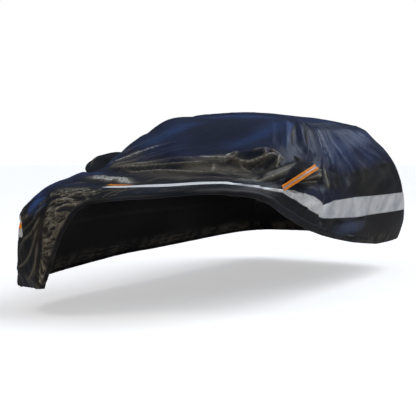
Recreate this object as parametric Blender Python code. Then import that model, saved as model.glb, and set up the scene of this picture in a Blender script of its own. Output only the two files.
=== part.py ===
"""Fitted car cover, as it hangs when it is in place, with its front left corner drawn back up.

The cover is a hollow shell of sewn cloth. Two coordinates run over it. "around" follows the plan outline:
0 is the middle of the nose, 1 the front corner, 2 the long seam across the flank, 3 the tail corner and 4 the
middle of the tail, with minus signs on the right hand side. "level" climbs through the rings of RINGS, from
the tucked hem at 0 to the roof seam at 9. The tables are in metres: +X is the left side, +Y the tail and +Z
up from the ground. The finished cover has its origin under the roof, at CARRY_POINT of the tables.
"""

import math

import bpy
import numpy as np
from mathutils import Matrix, Vector

COLLECTION = "car_cover"
GUIDES = "guides"
CLOTH = 0.0025
TAPE = 0.0012
GAP = 0.0003

CARRY_POINT = (0.0, 1.95, 1.4820)

# One row for each plan outline of the shell, from the hem up. The powers are those of a superellipse, 2 a
# round end and more a squarer one. seam_y is where the long seam crosses the flank.
RING_COLUMNS = ("half_width", "nose_y", "tail_y", "nose_power", "tail_power", "seam_y",
                "nose_z", "corner_z", "flank_z", "tail_z", "rear_z")
RINGS = {
    "tuck":  (0.885, -0.835, 3.300, 5.6, 6.5, 1.05, 0.215, 0.200, 0.270, 0.300, 0.300),
    "sill":  (0.905, -0.855, 3.350, 5.0, 7.0, 1.05, 0.400, 0.400, 0.450, 0.450, 0.450),
    "girth": (0.908, -0.855, 3.365, 4.8, 6.6, 1.07, 0.620, 0.620, 0.660, 0.660, 0.660),
    "waist": (0.900, -0.815, 3.335, 4.4, 6.2, 1.16, 0.760, 0.770, 0.820, 0.860, 0.860),
    "edge":  (0.880, -0.700, 3.265, 4.2, 5.6, 1.24, 0.865, 0.875, 0.910, 1.000, 1.000),
    "hood":  (0.860, -0.330, 3.180, 4.4, 5.0, 1.26, 0.930, 0.950, 0.980, 1.090, 1.090),
    "cowl":  (0.835,  0.240, 3.070, 4.8, 4.4, 1.27, 1.010, 1.045, 1.050, 1.170, 1.180),
    "glass": (0.790,  0.620, 2.910, 5.6, 3.9, 1.30, 1.200, 1.225, 1.170, 1.260, 1.290),
    "brow":  (0.705,  0.980, 2.830, 5.8, 4.0, 1.36, 1.380, 1.365, 1.305, 1.330, 1.385),
    "roof":  (0.595,  1.300, 2.760, 6.0, 4.6, 1.44, 1.465, 1.430, 1.395, 1.375, 1.450),
}
ROOF_LEVEL = len(RINGS) - 1
ROOF_CROWN = ((0.00, 1.476), (0.45, 1.497), (1.00, 1.488))
CROWN_POWER = 0.8
RING_STEPS = 720

# The cover's edges, as levels at places around it: the hem, and the band's lower and upper edge.
EDGE_COLUMNS = ("around", "hem", "band_low", "band_high")
EDGES = (
    (-3.00, 0.00, 1.60, 2.40),
    (-2.30, 0.00, 1.68, 2.58),
    (-0.72, 0.00, 1.68, 2.52),
    (-0.52, 0.00, 4.22, 4.66),
    (-0.44, 0.02, 4.33, 4.72),
    (-0.38, 0.55, 4.40, 4.76),
    (-0.31, 1.18, 4.42, 4.78),
    (-0.24, 1.84, 4.43, 4.80),
    (-0.18, 2.40, 4.42, 4.81),
    (-0.12, 3.15, 4.38, 4.82),
    (-0.04, 3.62, 4.38, 4.87),
    (0.10, 3.78, 4.44, 4.94),
    (0.31, 3.98, 4.53, 5.01),
    (0.61, 4.08, 4.70, 5.05),
    (0.90, 4.13, 4.86, 5.08),
    (1.04, 4.12, 4.76, 4.95),
    (1.17, 3.92, 4.47, 4.67),
    (1.30, 3.55, 4.18, 4.37),
    (1.42, 3.02, 3.88, 4.10),
    (1.50, 2.64, 3.66, 3.93),
    (1.60, 2.24, 3.14, 3.68),
    (1.72, 1.84, 2.64, 3.22),
    (1.84, 1.52, 2.24, 2.92),
    (1.95, 1.31, 1.95, 2.56),
    (2.00, 1.22, 1.84, 2.42),
    (2.07, 1.09, 1.79, 2.60),
    (2.30, 0.64, 1.69, 2.61),
    (2.60, 0.16, 1.66, 2.50),
    (3.00, 0.00, 1.60, 2.40),
    (5.00, 0.00, 1.60, 2.40),
)
BAND_START = -0.12
GATHER_SEAM = -0.52
CORNER_SEAM = -0.73

# Stretches of the outline, with the number of mesh columns in each. Where columns crowd together towards the
# roof, every second one is dropped above each of the listed rows, counted from the band's upper edge. Place 5
# is the right tail corner again.
STRETCH_COLUMNS = ("first", "last", "columns", "halved_above")
STRETCHES = (
    (-3.00, -2.00, 20, ()),
    (-2.00, -1.00, 16, (12, 14)),
    (-1.00, GATHER_SEAM, 7, ()),
    (GATHER_SEAM, BAND_START, 7, ()),
    (BAND_START, 1.00, 13, ()),
    (1.00, 2.00, 24, (10, 13)),
    (2.00, 3.00, 20, ()),
    (3.00, 5.00, 16, ()),
)
SKIRT_ROWS = 3
BAND_ROWS = 2
UPPER_ROWS = 18

# Folds pulled into the cloth, each a ridge, or a hollow where its height is negative, along a path over the
# shell. bow lifts the middle of the path by that many levels.
FOLD_COLUMNS = ("from_around", "from_level", "to_around", "to_level", "bow", "height", "half_width")
FOLDS = (
    # drawn up across the sloping front from the right mirror pocket
    (-0.89, 5.80, -0.92, 7.60, 0.00, 0.022, 0.060),
    (-0.88, 5.80, -0.48, 7.20, 0.00, 0.024, 0.055),
    (-0.84, 5.80, -0.04, 6.90, 0.00, 0.020, 0.055),
    (-0.80, 5.75, 0.15, 6.62, 0.00, 0.018, 0.050),
    # long ridges across the low front, at the foot of the slope
    (-0.88, 5.61, 0.56, 6.28, 0.13, 0.026, 0.050),
    (-0.43, 5.70, 0.87, 5.50, 0.25, 0.022, 0.050),
    (-0.20, 5.45, 0.60, 5.30, 0.05, -0.014, 0.060),
    # crumple between the slope and the left mirror pocket
    (0.49, 6.40, 1.04, 6.49, -0.19, 0.032, 0.040),
    (0.50, 6.56, 0.93, 6.68, 0.00, 0.020, 0.035),
    (0.65, 6.14, 1.10, 5.90, 0.00, -0.022, 0.050),
    (1.03, 6.42, 1.11, 5.95, 0.00, 0.020, 0.035),
    # hanging from the front left corner of the roof
    (0.81, 8.76, 1.10, 6.70, 0.00, 0.022, 0.045),
    (0.91, 8.81, 1.31, 6.60, 0.00, -0.018, 0.045),
    (1.12, 8.70, 1.45, 6.60, 0.00, 0.024, 0.045),
    (1.55, 8.75, 1.62, 6.80, 0.00, -0.016, 0.040),
    (1.90, 8.80, 1.80, 4.60, 0.00, 0.022, 0.045),
    # fanned over the left rear quarter from the roof seam
    (2.10, 8.70, 2.05, 5.00, 0.00, 0.026, 0.055),
    (2.17, 8.70, 2.20, 3.10, 0.00, -0.020, 0.060),
    (2.24, 8.70, 2.40, 3.20, 0.00, 0.026, 0.060),
    (2.33, 8.70, 2.70, 4.50, 0.00, 0.020, 0.055),
    (2.42, 8.50, 2.73, 2.90, 0.00, -0.018, 0.060),
    (2.60, 8.60, 2.92, 4.20, 0.00, 0.014, 0.060),
    # drawn towards the left mirror pocket
    (1.12, 5.12, 1.44, 5.90, 0.00, 0.034, 0.055),
    (1.16, 4.90, 1.42, 4.60, 0.00, -0.020, 0.045),
    (1.70, 5.60, 1.96, 3.20, 0.00, -0.020, 0.050),
    # wrapped diagonally round the front right corner
    (-0.54, 3.60, -0.82, 2.30, 0.00, 0.026, 0.055),
    (-0.54, 2.80, -0.80, 1.30, 0.00, -0.020, 0.050),
    (-0.54, 2.00, -0.76, 0.30, 0.00, 0.022, 0.050),
    (-0.70, 4.40, -0.72, 5.50, 0.00, 0.022, 0.070),
    (-0.26, 5.10, -0.10, 5.40, 0.00, 0.020, 0.045),
    # creased where the drawn-back stretch of the band meets the straight one
    (2.02, 2.90, 1.95, 1.50, 0.00, -0.026, 0.045),
    (1.68, 3.20, 1.80, 2.50, 0.00, 0.020, 0.045),
    (2.10, 1.50, 2.45, 1.60, 0.00, 0.020, 0.045),
    (2.05, 1.60, 2.30, 0.90, 0.00, -0.018, 0.045),
    # on the far side and the tail, where the cloth hangs more freely
    (-2.15, 8.70, -2.05, 4.60, 0.00, 0.022, 0.060),
    (-2.30, 8.70, -2.48, 3.10, 0.00, -0.018, 0.070),
    (-2.45, 8.60, -2.80, 3.60, 0.00, 0.022, 0.070),
    (-1.85, 8.80, -1.70, 6.70, 0.00, 0.020, 0.060),
    (-1.20, 8.60, -1.30, 6.60, 0.00, -0.016, 0.060),
    (-1.35, 4.80, -1.10, 3.00, 0.00, 0.018, 0.070),
    (-1.75, 5.00, -1.95, 3.10, 0.00, -0.018, 0.070),
    (3.15, 8.60, 3.40, 3.60, 0.00, 0.022, 0.070),
    (3.70, 8.50, 3.85, 4.40, 0.00, -0.016, 0.080),
    (4.30, 8.50, 4.05, 3.40, 0.00, 0.018, 0.080),
    (4.85, 8.60, 4.60, 3.80, 0.00, -0.020, 0.070),
)
FOLD_SAMPLES = 13
FOLD_FADE = 0.22

# Slow waves in the slack cloth: height, and waves in a metre along X, Y and Z.
WAVES = (
    (0.0040, 1.10, 0.55, 0.90, 0.4),
    (0.0030, -0.70, 1.30, 0.60, 2.1),
    (0.0025, 1.90, 0.90, -1.40, 4.0),
)

# The gathered skirt: pleats across it, deepest at the elastic of the hem.
PLEAT_HEIGHT = 0.016
PLEAT_REACH = (GATHER_SEAM, 1.2)
PLEAT_SEED = 7

# Broad swells: the cloth stands off the shell round each mirror pocket and at the roof's front right corner.
SWELL_COLUMNS = ("around", "level", "height", "spread")
SWELLS = (
    (1.56, 5.25, 0.035, 0.17),
    (-1.56, 5.25, 0.035, 0.17),
    (-0.95, 8.30, 0.050, 0.26),
)

# Where the mesh columns are leant towards the nose so that they stand upright through a mirror pocket: the
# ends of the stretch and of its fully shifted part, the rows above the band between which the shift grows,
# and how far round it is.
LEAN_COLUMNS = ("first", "full_first", "full_last", "last", "first_row", "full_row", "shift")
LEANS = (
    (0.30, 1.49, 1.76, 2.00, 1, 9, -0.26),
    (-2.00, -1.70, -1.49, -0.30, 4, 10, 0.37),
)

# Mirror pockets: the mesh columns and the rows above the band that each one fills, and how far its face
# stands out, towards the tail and up.
POCKET_COLUMNS = ("name", "side", "first_around", "last_around", "first_row", "last_row",
                  "out", "back", "up")
POCKETS = (
    ("left", 1, 1.499, 1.751, 2, 9, 0.155, 0.030, -0.040),
    ("right", -1, -1.688, -1.499, 6, 11, 0.190, 0.015, 0.058),
)
POCKET_FULLNESS = 0.38

# Tapes sewn on the outside, each a straight run from one place on its carrier to another. Layer 1 lies on
# layer 0.
TAPE_COLUMNS = ("name", "carrier", "start", "end", "width", "layer", "colour")
TAPES = (
    ("mirror_tape_left", "mirror_pocket_left",
     (0.915, 0.440, 0.905), (1.010, 0.745, 1.050), 0.042, 0, "orange"),
    ("mirror_line_left", "mirror_pocket_left",
     (0.915, 0.440, 0.905), (1.010, 0.745, 1.050), 0.010, 1, "silver"),
    ("mirror_tape_right", "mirror_pocket_right",
     (-0.930, 0.400, 0.975), (-1.010, 0.690, 1.100), 0.042, 0, "orange"),
    ("mirror_line_right", "mirror_pocket_right",
     (-0.930, 0.400, 0.975), (-1.010, 0.690, 1.100), 0.010, 1, "silver"),
    ("front_tape", "front_panel",
     (-0.165, -0.372, 0.925), (0.095, -0.398, 0.9245), 0.070, 0, "orange"),
    ("corner_tape", "band_right",
     (-0.600, -0.768, 0.643), (-0.720, -0.660, 0.643), 0.045, 0, "orange"),
)
TAPE_CUT_DEPTH = 0.10

COLOURS = {
    "navy": ((0.012, 0.018, 0.048), 0.34, 0.0),
    "black": ((0.012, 0.012, 0.013), 0.30, 0.0),
    "silver": ((0.42, 0.43, 0.45), 0.32, 0.6),
    "orange": ((0.90, 0.20, 0.012), 0.45, 0.0),
}

PIECE_COLOURS = {
    "front_panel": "navy",
    "roof_panel": "navy",
    "side_panel_left": "navy",
    "side_panel_right": "navy",
    "mirror_pocket_left": "black",
    "mirror_pocket_right": "black",
    "band_front": "silver",
    "band_left": "silver",
    "band_rear": "silver",
    "band_right": "silver",
    "skirt_front": "black",
    "skirt_left": "black",
    "skirt_rear": "black",
    "skirt_right": "black",
}


def smooth(value):
    """Eases from 0 to 1."""
    value = np.clip(value, 0.0, 1.0)
    return value * value * (3.0 - 2.0 * value)


def unit(vectors):
    return vectors / np.linalg.norm(vectors, axis=-1, keepdims=True)


def place_around(around):
    """The same places as unsigned shares, 0 at the nose and 4 at the tail, and each one's side as a sign."""
    turned = np.where(around > 4.0, around - 8.0, around)
    return np.abs(turned), np.where(turned < 0.0, -1.0, 1.0)


def ring_points(name, around):
    """Points of one ring, at places around it."""
    row = dict(zip(RING_COLUMNS, RINGS[name]))
    angle = np.linspace(-math.pi / 2, math.pi / 2, RING_STEPS + 1)
    power = np.where(angle < 0.0, row["nose_power"], row["tail_power"])
    middle = (row["nose_y"] + row["tail_y"]) / 2
    half_length = (row["tail_y"] - row["nose_y"]) / 2
    across = row["half_width"] * np.abs(np.cos(angle)) ** (2 / power)
    along = middle + half_length * np.sign(angle) * np.abs(np.sin(angle)) ** (2 / power)
    steps = np.hypot(np.diff(across), np.diff(along))
    run = np.concatenate([[0.0], np.cumsum(steps)])
    marks = (0.0, np.interp(-math.pi / 4, angle, run), np.interp(row["seam_y"], along, run),
             np.interp(math.pi / 4, angle, run), run[-1])
    heights = np.array([row[part + "_z"] for part in ("nose", "corner", "flank", "tail", "rear")])
    share, side = place_around(around)
    travelled = np.interp(share, range(5), marks)
    before = np.minimum(share.astype(int), 3)
    ease = smooth(share - before)
    height = heights[before] * (1 - ease) + heights[before + 1] * ease
    return np.stack([side * np.interp(travelled, run, across), np.interp(travelled, run, along), height], -1)


def shell_points(around, level):
    """Points of the bare shell, on smooth curves through the rings."""
    rings = np.stack([ring_points(name, around) for name in RINGS])
    spans = np.linalg.norm(np.diff(rings, axis=0), axis=-1, keepdims=True)
    slopes = np.diff(rings, axis=0) / spans
    before, after = spans[:-1], spans[1:]
    inner = (slopes[:-1] * after + slopes[1:] * before) / (before + after)
    tangents = np.concatenate([slopes[:1], inner, slopes[-1:]])
    low = np.clip(np.floor(level).astype(int), 0, ROOF_LEVEL - 1)
    column = np.arange(len(around))
    span = spans[low, column]
    t = (level - low)[:, None]
    start, end = rings[low, column], rings[low + 1, column]
    leave, arrive = tangents[low, column] * span, tangents[low + 1, column] * span
    return ((2 * t**3 - 3 * t**2 + 1) * start + (t**3 - 2 * t**2 + t) * leave
            + (3 * t**2 - 2 * t**3) * end + (t**3 - t**2) * arrive)


def edge_level(edge, around):
    """Level of one of the cover's edges at places around it."""
    places = [row[0] for row in EDGES]
    return np.interp(around, places, [row[EDGE_COLUMNS.index(edge)] for row in EDGES])


def path_distance(points, path):
    """Distance of each point from a path, and how far along the path the nearest place is, from 0 to 1."""
    nearest = np.full(len(points), np.inf)
    along = np.zeros(len(points))
    pieces = len(path) - 1
    for index in range(pieces):
        start, leg = path[index], path[index + 1] - path[index]
        share = np.clip((points - start) @ leg / (leg @ leg), 0.0, 1.0)
        distance = np.linalg.norm(points - start - share[:, None] * leg, axis=1)
        closer = distance < nearest
        nearest = np.where(closer, distance, nearest)
        along = np.where(closer, (index + share) / pieces, along)
    return nearest, along


def fold_relief(points):
    """Height of the folds, the slow waves and the swells, at points of the bare shell."""
    relief = np.zeros(len(points))
    share = np.linspace(0.0, 1.0, FOLD_SAMPLES)
    for values in FOLDS:
        fold = dict(zip(FOLD_COLUMNS, values))
        around = fold["from_around"] + (fold["to_around"] - fold["from_around"]) * share
        level = fold["from_level"] + (fold["to_level"] - fold["from_level"]) * share
        level = level + fold["bow"] * np.sin(math.pi * share)
        distance, along = path_distance(points, shell_points(around, level))
        fade = smooth(along / FOLD_FADE) * smooth((1 - along) / FOLD_FADE)
        relief += fold["height"] * fade * np.exp(-((distance / fold["half_width"]) ** 2))
    for height, per_x, per_y, per_z, phase in WAVES:
        turns = points @ np.array([per_x, per_y, per_z])
        relief += height * np.sin(2 * math.pi * turns + phase)
    for around, level, height, spread in SWELLS:
        centre = shell_points(np.array([around]), np.array([level]))
        distance = np.linalg.norm(points - centre, axis=1)
        relief += height * np.exp(-((distance / spread) ** 2))
    return relief


def pleat_relief(around, height_share):
    """Height of the skirt's pleats. height_share is 0 at the hem and 1 at the skirt's seam."""
    uneven = np.random.default_rng(PLEAT_SEED).uniform(0.4, 1.0, len(around))
    alternate = np.where(np.arange(len(around)) % 2 == 0, 1.0, -1.0)
    first, last = PLEAT_REACH
    reach = smooth((around - first) / 0.1) * smooth((last - around) / 0.9)
    return PLEAT_HEIGHT * uneven * alternate * reach * np.cos(math.pi / 2 * height_share)


def grid_normals(grid):
    """Outward directions on a grid of rows whose last column meets its first."""
    ring = np.concatenate([grid[:, -2:-1], grid, grid[:, 1:2]], axis=1)
    along = ring[:, 2:] - ring[:, :-2]
    up = np.gradient(grid, axis=0)
    return unit(np.cross(along, up))


def station_places():
    """Places around the cover of the mesh columns."""
    places = [STRETCHES[0][0]]
    for first, last, columns, _ in STRETCHES:
        places.extend(first + (last - first) * (step + 1) / columns for step in range(columns))
    return np.array(places)


def row_levels(around):
    """Level of each mesh row, at places around it: the skirt, the band and the upper cloth, from the hem."""
    edges = [edge_level(edge, around) for edge in EDGE_COLUMNS[1:]]
    edges.append(np.full(len(around), float(ROOF_LEVEL)))
    rows = [edges[0]]
    for low, high, steps in zip(edges, edges[1:], (SKIRT_ROWS, BAND_ROWS, UPPER_ROWS)):
        rows.extend(low + (high - low) * (step + 1) / steps for step in range(steps))
    return np.array(rows)


def leant(around, row):
    """Places around at which a mesh row has its columns."""
    moved = around.copy()
    for values in LEANS:
        lean = dict(zip(LEAN_COLUMNS, values))
        ends = (lean["first"], lean["full_first"], lean["full_last"], lean["last"])
        rows = (lean["first_row"], lean["full_row"], UPPER_ROWS)
        share = np.interp(row - SKIRT_ROWS - BAND_ROWS, rows, (0, 1, 0))
        moved += lean["shift"] * share * np.interp(around, ends, (0, 1, 1, 0))
    return moved


def wall_grid(around):
    """Points of the wall, a grid of mesh rows and columns, with its folds and pleats."""
    bare = np.array([shell_points(leant(around, row), level) for row, level in enumerate(row_levels(around))])
    outward = grid_normals(bare)
    relief = np.array([fold_relief(row) for row in bare])
    for row in range(SKIRT_ROWS):
        relief[row] += pleat_relief(around, row / SKIRT_ROWS)
    relief[:, -1] = relief[:, 0]
    return bare + relief[..., None] * outward


def roof_rows(left, right, tail):
    """Rows of points across the roof, between the wall's left and right edges, the last at the tail edge."""
    across = np.linspace(1.0, -1.0, len(tail))
    share = np.linspace(0.0, 1.0, len(left))
    crown = np.interp(share, *zip(*ROOF_CROWN))
    rows = []
    arch = (1 - across**2) ** CROWN_POWER
    for start, end, part, middle_z in zip(left, right, share, crown):
        row = start + (end - start) * (1 - across[:, None]) / 2
        row[:, 2] += (middle_z - start[2]) * arch
        row[1:-1, 2] += fold_relief(row[1:-1])
        rows.append((row, part))
    miss = tail - rows[-1][0]
    return [row + miss * part**2 for row, part in rows]


def zip_faces(points, front, back):
    """Triangles between two rows of point numbers that share their ends, by the shorter new edge each time."""
    faces = []
    i, j = 0, 0
    while i < len(front) - 1 or j < len(back) - 1:
        front_edge = math.dist(points[front[min(i + 1, len(front) - 1)]], points[back[j]])
        back_edge = math.dist(points[front[i]], points[back[min(j + 1, len(back) - 1)]])
        if j == len(back) - 1 or (i < len(front) - 1 and front_edge <= back_edge):
            faces.append((front[i], back[j], front[i + 1]))
            i += 1
        else:
            faces.append((front[i], back[j], back[j + 1]))
            j += 1
    return [face for face in faces if len(set(face)) == 3]


def pocket_at(row, middle):
    """Name of the mirror pocket that fills a cell of the wall, or None. middle is the cell's place around."""
    for values in POCKETS:
        pocket = dict(zip(POCKET_COLUMNS, values))
        beside = pocket["first_around"] < middle < pocket["last_around"]
        if beside and pocket["first_row"] <= row - SKIRT_ROWS - BAND_ROWS < pocket["last_row"]:
            return pocket["name"]
    return None


def cloth_piece(row, middle):
    """Name of the piece of cloth that a cell of the wall belongs to. middle is the cell's place around."""
    if row < SKIRT_ROWS:
        ends = ((CORNER_SEAM, "skirt_right"), (GATHER_SEAM, "front_panel"), (2.0, "skirt_front"),
                (3.0, "skirt_left"), (5.0, "skirt_rear"))
    elif row < SKIRT_ROWS + BAND_ROWS:
        ends = ((CORNER_SEAM, "band_right"), (BAND_START, "front_panel"), (2.0, "band_front"),
                (3.0, "band_left"), (5.0, "band_rear"))
    elif pocket_at(row, middle):
        return "mirror_pocket_" + pocket_at(row, middle)
    else:
        ends = ((-2.0, "side_panel_right"), (2.0, "front_panel"), (3.0, "side_panel_left"),
                (5.0, "roof_panel"))
    return next(name for end, name in ends if middle < end)


def split_in_triangles(points, faces):
    """Triangles of the faces: four-sided ones cut along their shorter diagonal, others fanned from a point."""
    triangles = []
    for face in faces:
        a, b, c, d = (face + face)[:4]
        if len(face) == 4 and math.dist(points[a], points[c]) > math.dist(points[b], points[d]):
            face = face[1:] + face[:1]
        triangles += [(face[0], face[k], face[k + 1]) for k in range(1, len(face) - 1)]
    return triangles


def point_normals(points, triangles):
    """Outward direction at each point, the mean of its triangles' weighted by their angles there."""
    triangles = np.array(triangles)
    total = np.zeros_like(points)
    for corner in range(3):
        here, ahead, behind = (points[triangles[:, (corner + k) % 3]] for k in range(3))
        first, second = unit(ahead - here), unit(behind - here)
        angle = np.arccos(np.clip((first * second).sum(-1), -1.0, 1.0))
        np.add.at(total, triangles[:, corner], unit(np.cross(first, second)) * angle[:, None])
    length = np.linalg.norm(total, axis=1, keepdims=True)
    return total / np.where(length > 0, length, 1.0)


def open_edges(triangles):
    """Edges that only one triangle has, as pairs of point numbers in that triangle's order."""
    edges = {(face[k], face[(k + 1) % 3]) for face in triangles for k in range(3)}
    return [(a, b) for a, b in sorted(edges) if (b, a) not in edges]


def seam_inset(points, normals, edges):
    """Moves of the edge points that take half a seam gap off the piece, square to each of its edges."""
    inward = {}
    for a, b in edges:
        inward[a, b] = unit(np.cross(normals[a] + normals[b], points[b] - points[a]))
    arriving = {b: inward[a, b] for a, b in edges}
    moves = {}
    for a, b in edges:
        first, second = arriving[a], inward[a, b]
        moves[a] = (first + second) / (1 + first @ second) * GAP / 2
    return moves


def closed_sheet(name, points, normals, faces, bottom, top, colour):
    """A sheet over the faces, between their points moved by bottom and by top along the shared normals.

    Neighbouring pieces share those normals, so their edges stay parallel across a seam.
    """
    triangles = split_in_triangles(points, faces)
    edges = open_edges(triangles)
    placed = points.copy()
    for point, move in seam_inset(points, normals, edges).items():
        placed[point] += move
    used = sorted({point for face in triangles for point in face})
    number = {point: index for index, point in enumerate(used)}
    count = len(used)
    outer = placed[used] + normals[used] * top
    inner = placed[used] + normals[used] * bottom
    mesh_faces = [tuple(number[point] for point in face) for face in triangles]
    mesh_faces += [tuple(count + number[point] for point in reversed(face)) for face in triangles]
    for a, b in edges:
        rim = (number[b], number[a], count + number[a], count + number[b])
        if tuple(points[a]) > tuple(points[b]):
            rim = rim[1:] + rim[:1]
        mesh_faces += [rim[:3], (rim[0], rim[2], rim[3])]
    mesh = bpy.data.meshes.new(name)
    mesh.from_pydata(np.concatenate([outer, inner]).tolist(), [], mesh_faces)
    mesh.shade_smooth()
    mesh.set_sharp_from_angle(angle=math.radians(60))
    mesh.materials.append(material(colour))
    piece = bpy.data.objects.new(name, mesh)
    bpy.data.collections[COLLECTION].objects.link(piece)
    piece.parent = bpy.data.objects["carry_frame"]
    return piece


def material(colour):
    """The Principled BSDF of a colour, made once."""
    if colour in bpy.data.materials:
        return bpy.data.materials[colour]
    value, roughness, metallic = COLOURS[colour]
    made = bpy.data.materials.new(colour)
    made.use_nodes = True
    shader = made.node_tree.nodes["Principled BSDF"]
    shader.inputs["Base Color"].default_value = (*value, 1.0)
    shader.inputs["Roughness"].default_value = roughness
    shader.inputs["Metallic"].default_value = metallic
    return made


def blend_block(block, up, along):
    """Values between the points of a block, at fractions of its rows and columns."""
    low_row = np.minimum(up.astype(int), block.shape[0] - 2)
    low_column = np.minimum(along.astype(int), block.shape[1] - 2)
    v = (up - low_row)[:, None, None]
    u = (along - low_column)[None, :, None]
    rows, columns = np.ix_(low_row, low_column)
    low = block[rows, columns] * (1 - u) + block[rows, columns + 1] * u
    high = block[rows + 1, columns] * (1 - u) + block[rows + 1, columns + 1] * u
    return low * (1 - v) + high * v


def add_pouch(points, pieces, block, pocket):
    """Fills a block of the wall's points with a rounded pouch, whose edge is sewn to the front panel's hole.

    The pouch has two cells for each of the block's, so the front panel's edge gets a point between each two.
    """
    rows, columns = block.shape
    up = np.linspace(0, rows - 1, 2 * rows - 1)
    along = np.linspace(0, columns - 1, 2 * columns - 1)
    share = along / along[-1] if pocket["side"] > 0 else 1 - along / along[-1]
    profile = np.abs(np.sin(math.pi * share)) ** POCKET_FULLNESS
    height = np.abs(np.sin(math.pi * up / up[-1])) ** POCKET_FULLNESS
    profile[[0, -1]] = 0.0
    height[[0, -1]] = 0.0
    push = np.array((pocket["side"] * pocket["out"], pocket["back"], pocket["up"]))
    pouch = blend_block(points[block], up, along) + (height[:, None] * profile)[..., None] * push
    numbers = np.arange(len(points), len(points) + up.size * along.size).reshape(up.size, along.size)
    edge = np.ones(block.shape, bool)
    edge[1:-1, 1:-1] = False
    numbers[::2, ::2][edge] = block[edge]
    sides = (numbers[0, :-1], numbers[:-1, -1], numbers[-1, :0:-1], numbers[:0:-1, 0])
    loop = np.concatenate(sides).tolist()
    starts = range(0, len(loop), 2)
    middles = {frozenset((loop[k], loop[(k + 2) % len(loop)])): loop[k + 1] for k in starts}
    pieces["front_panel"] = [with_middle(face, middles) for face in pieces["front_panel"]]
    pieces["mirror_pocket_" + pocket["name"]] = grid_faces(numbers)
    return np.concatenate([points, pouch.reshape(-1, 3)])


def with_middle(face, middles):
    """The face with the point that halves one of its edges put in, as its first."""
    for k in range(len(face)):
        turned = face[k:] + face[:k]
        middle = middles.get(frozenset((turned[0], turned[-1])))
        if middle is not None:
            return (middle,) + turned
    return face


def grid_faces(numbers):
    """Four-sided faces of a grid of point numbers, whose rows climb and whose columns run to the left."""
    quads = np.stack([numbers[:-1, :-1], numbers[:-1, 1:], numbers[1:, 1:], numbers[1:, :-1]], -1)
    return [tuple(face) for face in quads.reshape(-1, 4).tolist()]


def tape_run(tape, points, normals, faces):
    """A straight tape on its carrier's outside: a copy of the carrier's surface, cut to a box on the run."""
    bottom = GAP + tape["layer"] * (TAPE + GAP)
    ribbon = closed_sheet(tape["name"], points, normals, faces, bottom, bottom + TAPE, tape["colour"])
    start, end = Vector(tape["start"]), Vector(tape["end"])
    middle = (start + end) / 2
    used = np.unique(np.concatenate(faces))
    nearest = used[np.argmin(np.linalg.norm(points[used] - np.array(middle), axis=1))]
    along = (end - start).normalized()
    across = Vector(normals[nearest]).cross(along).normalized()
    cutter = box(tape["name"] + "_cut", (end - start).length, tape["width"], TAPE_CUT_DEPTH)
    turn = Matrix((along, across, along.cross(across))).transposed().to_4x4()
    cutter.matrix_local = Matrix.Translation(middle) @ turn
    cut = ribbon.modifiers.new("cut", "BOOLEAN")
    cut.operation = "INTERSECT"
    cut.solver = "EXACT"
    cut.object = cutter


def box(name, length, width, depth):
    """A hidden box for cutting."""
    mesh = bpy.data.meshes.new(name)
    half = (length / 2, width / 2, depth / 2)
    signs = [(x, y, z) for x in (-1, 1) for y in (-1, 1) for z in (-1, 1)]
    corners = [[sign * side for sign, side in zip(corner, half)] for corner in signs]
    faces = [(0, 1, 3, 2), (4, 6, 7, 5), (0, 4, 5, 1), (2, 3, 7, 6), (0, 2, 6, 4), (1, 5, 7, 3)]
    mesh.from_pydata(corners, [], faces)
    cutter = bpy.data.objects.new(name, mesh)
    cutter.hide_render = True
    cutter.display_type = "WIRE"
    bpy.data.collections[GUIDES].objects.link(cutter)
    cutter.parent = bpy.data.objects["carry_frame"]
    return cutter


def wall_faces(numbers, places):
    """Faces of the wall by piece, and the columns still there at its top."""
    pieces = {}
    start = 0
    kept = []
    for _, _, columns, halved_above in STRETCHES:
        lines = [SKIRT_ROWS + BAND_ROWS + row for row in halved_above]
        for row in range(len(numbers) - 1):
            low_step, step = (2 ** sum(number > line for line in lines) for number in (row, row + 1))
            for column in range(start, start + columns, step):
                bottom = numbers[row, column:column + step + 1:low_step].tolist()
                right, left = int(numbers[row + 1, column + step]), int(numbers[row + 1, column])
                face = (*bottom[1:], right, left, bottom[0])
                middle = (places[column] + places[column + step]) / 2
                pieces.setdefault(cloth_piece(row, middle), []).append(face)
        kept += range(start, start + columns, step)
        start += columns
    return pieces, np.array(kept + [start])


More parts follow.
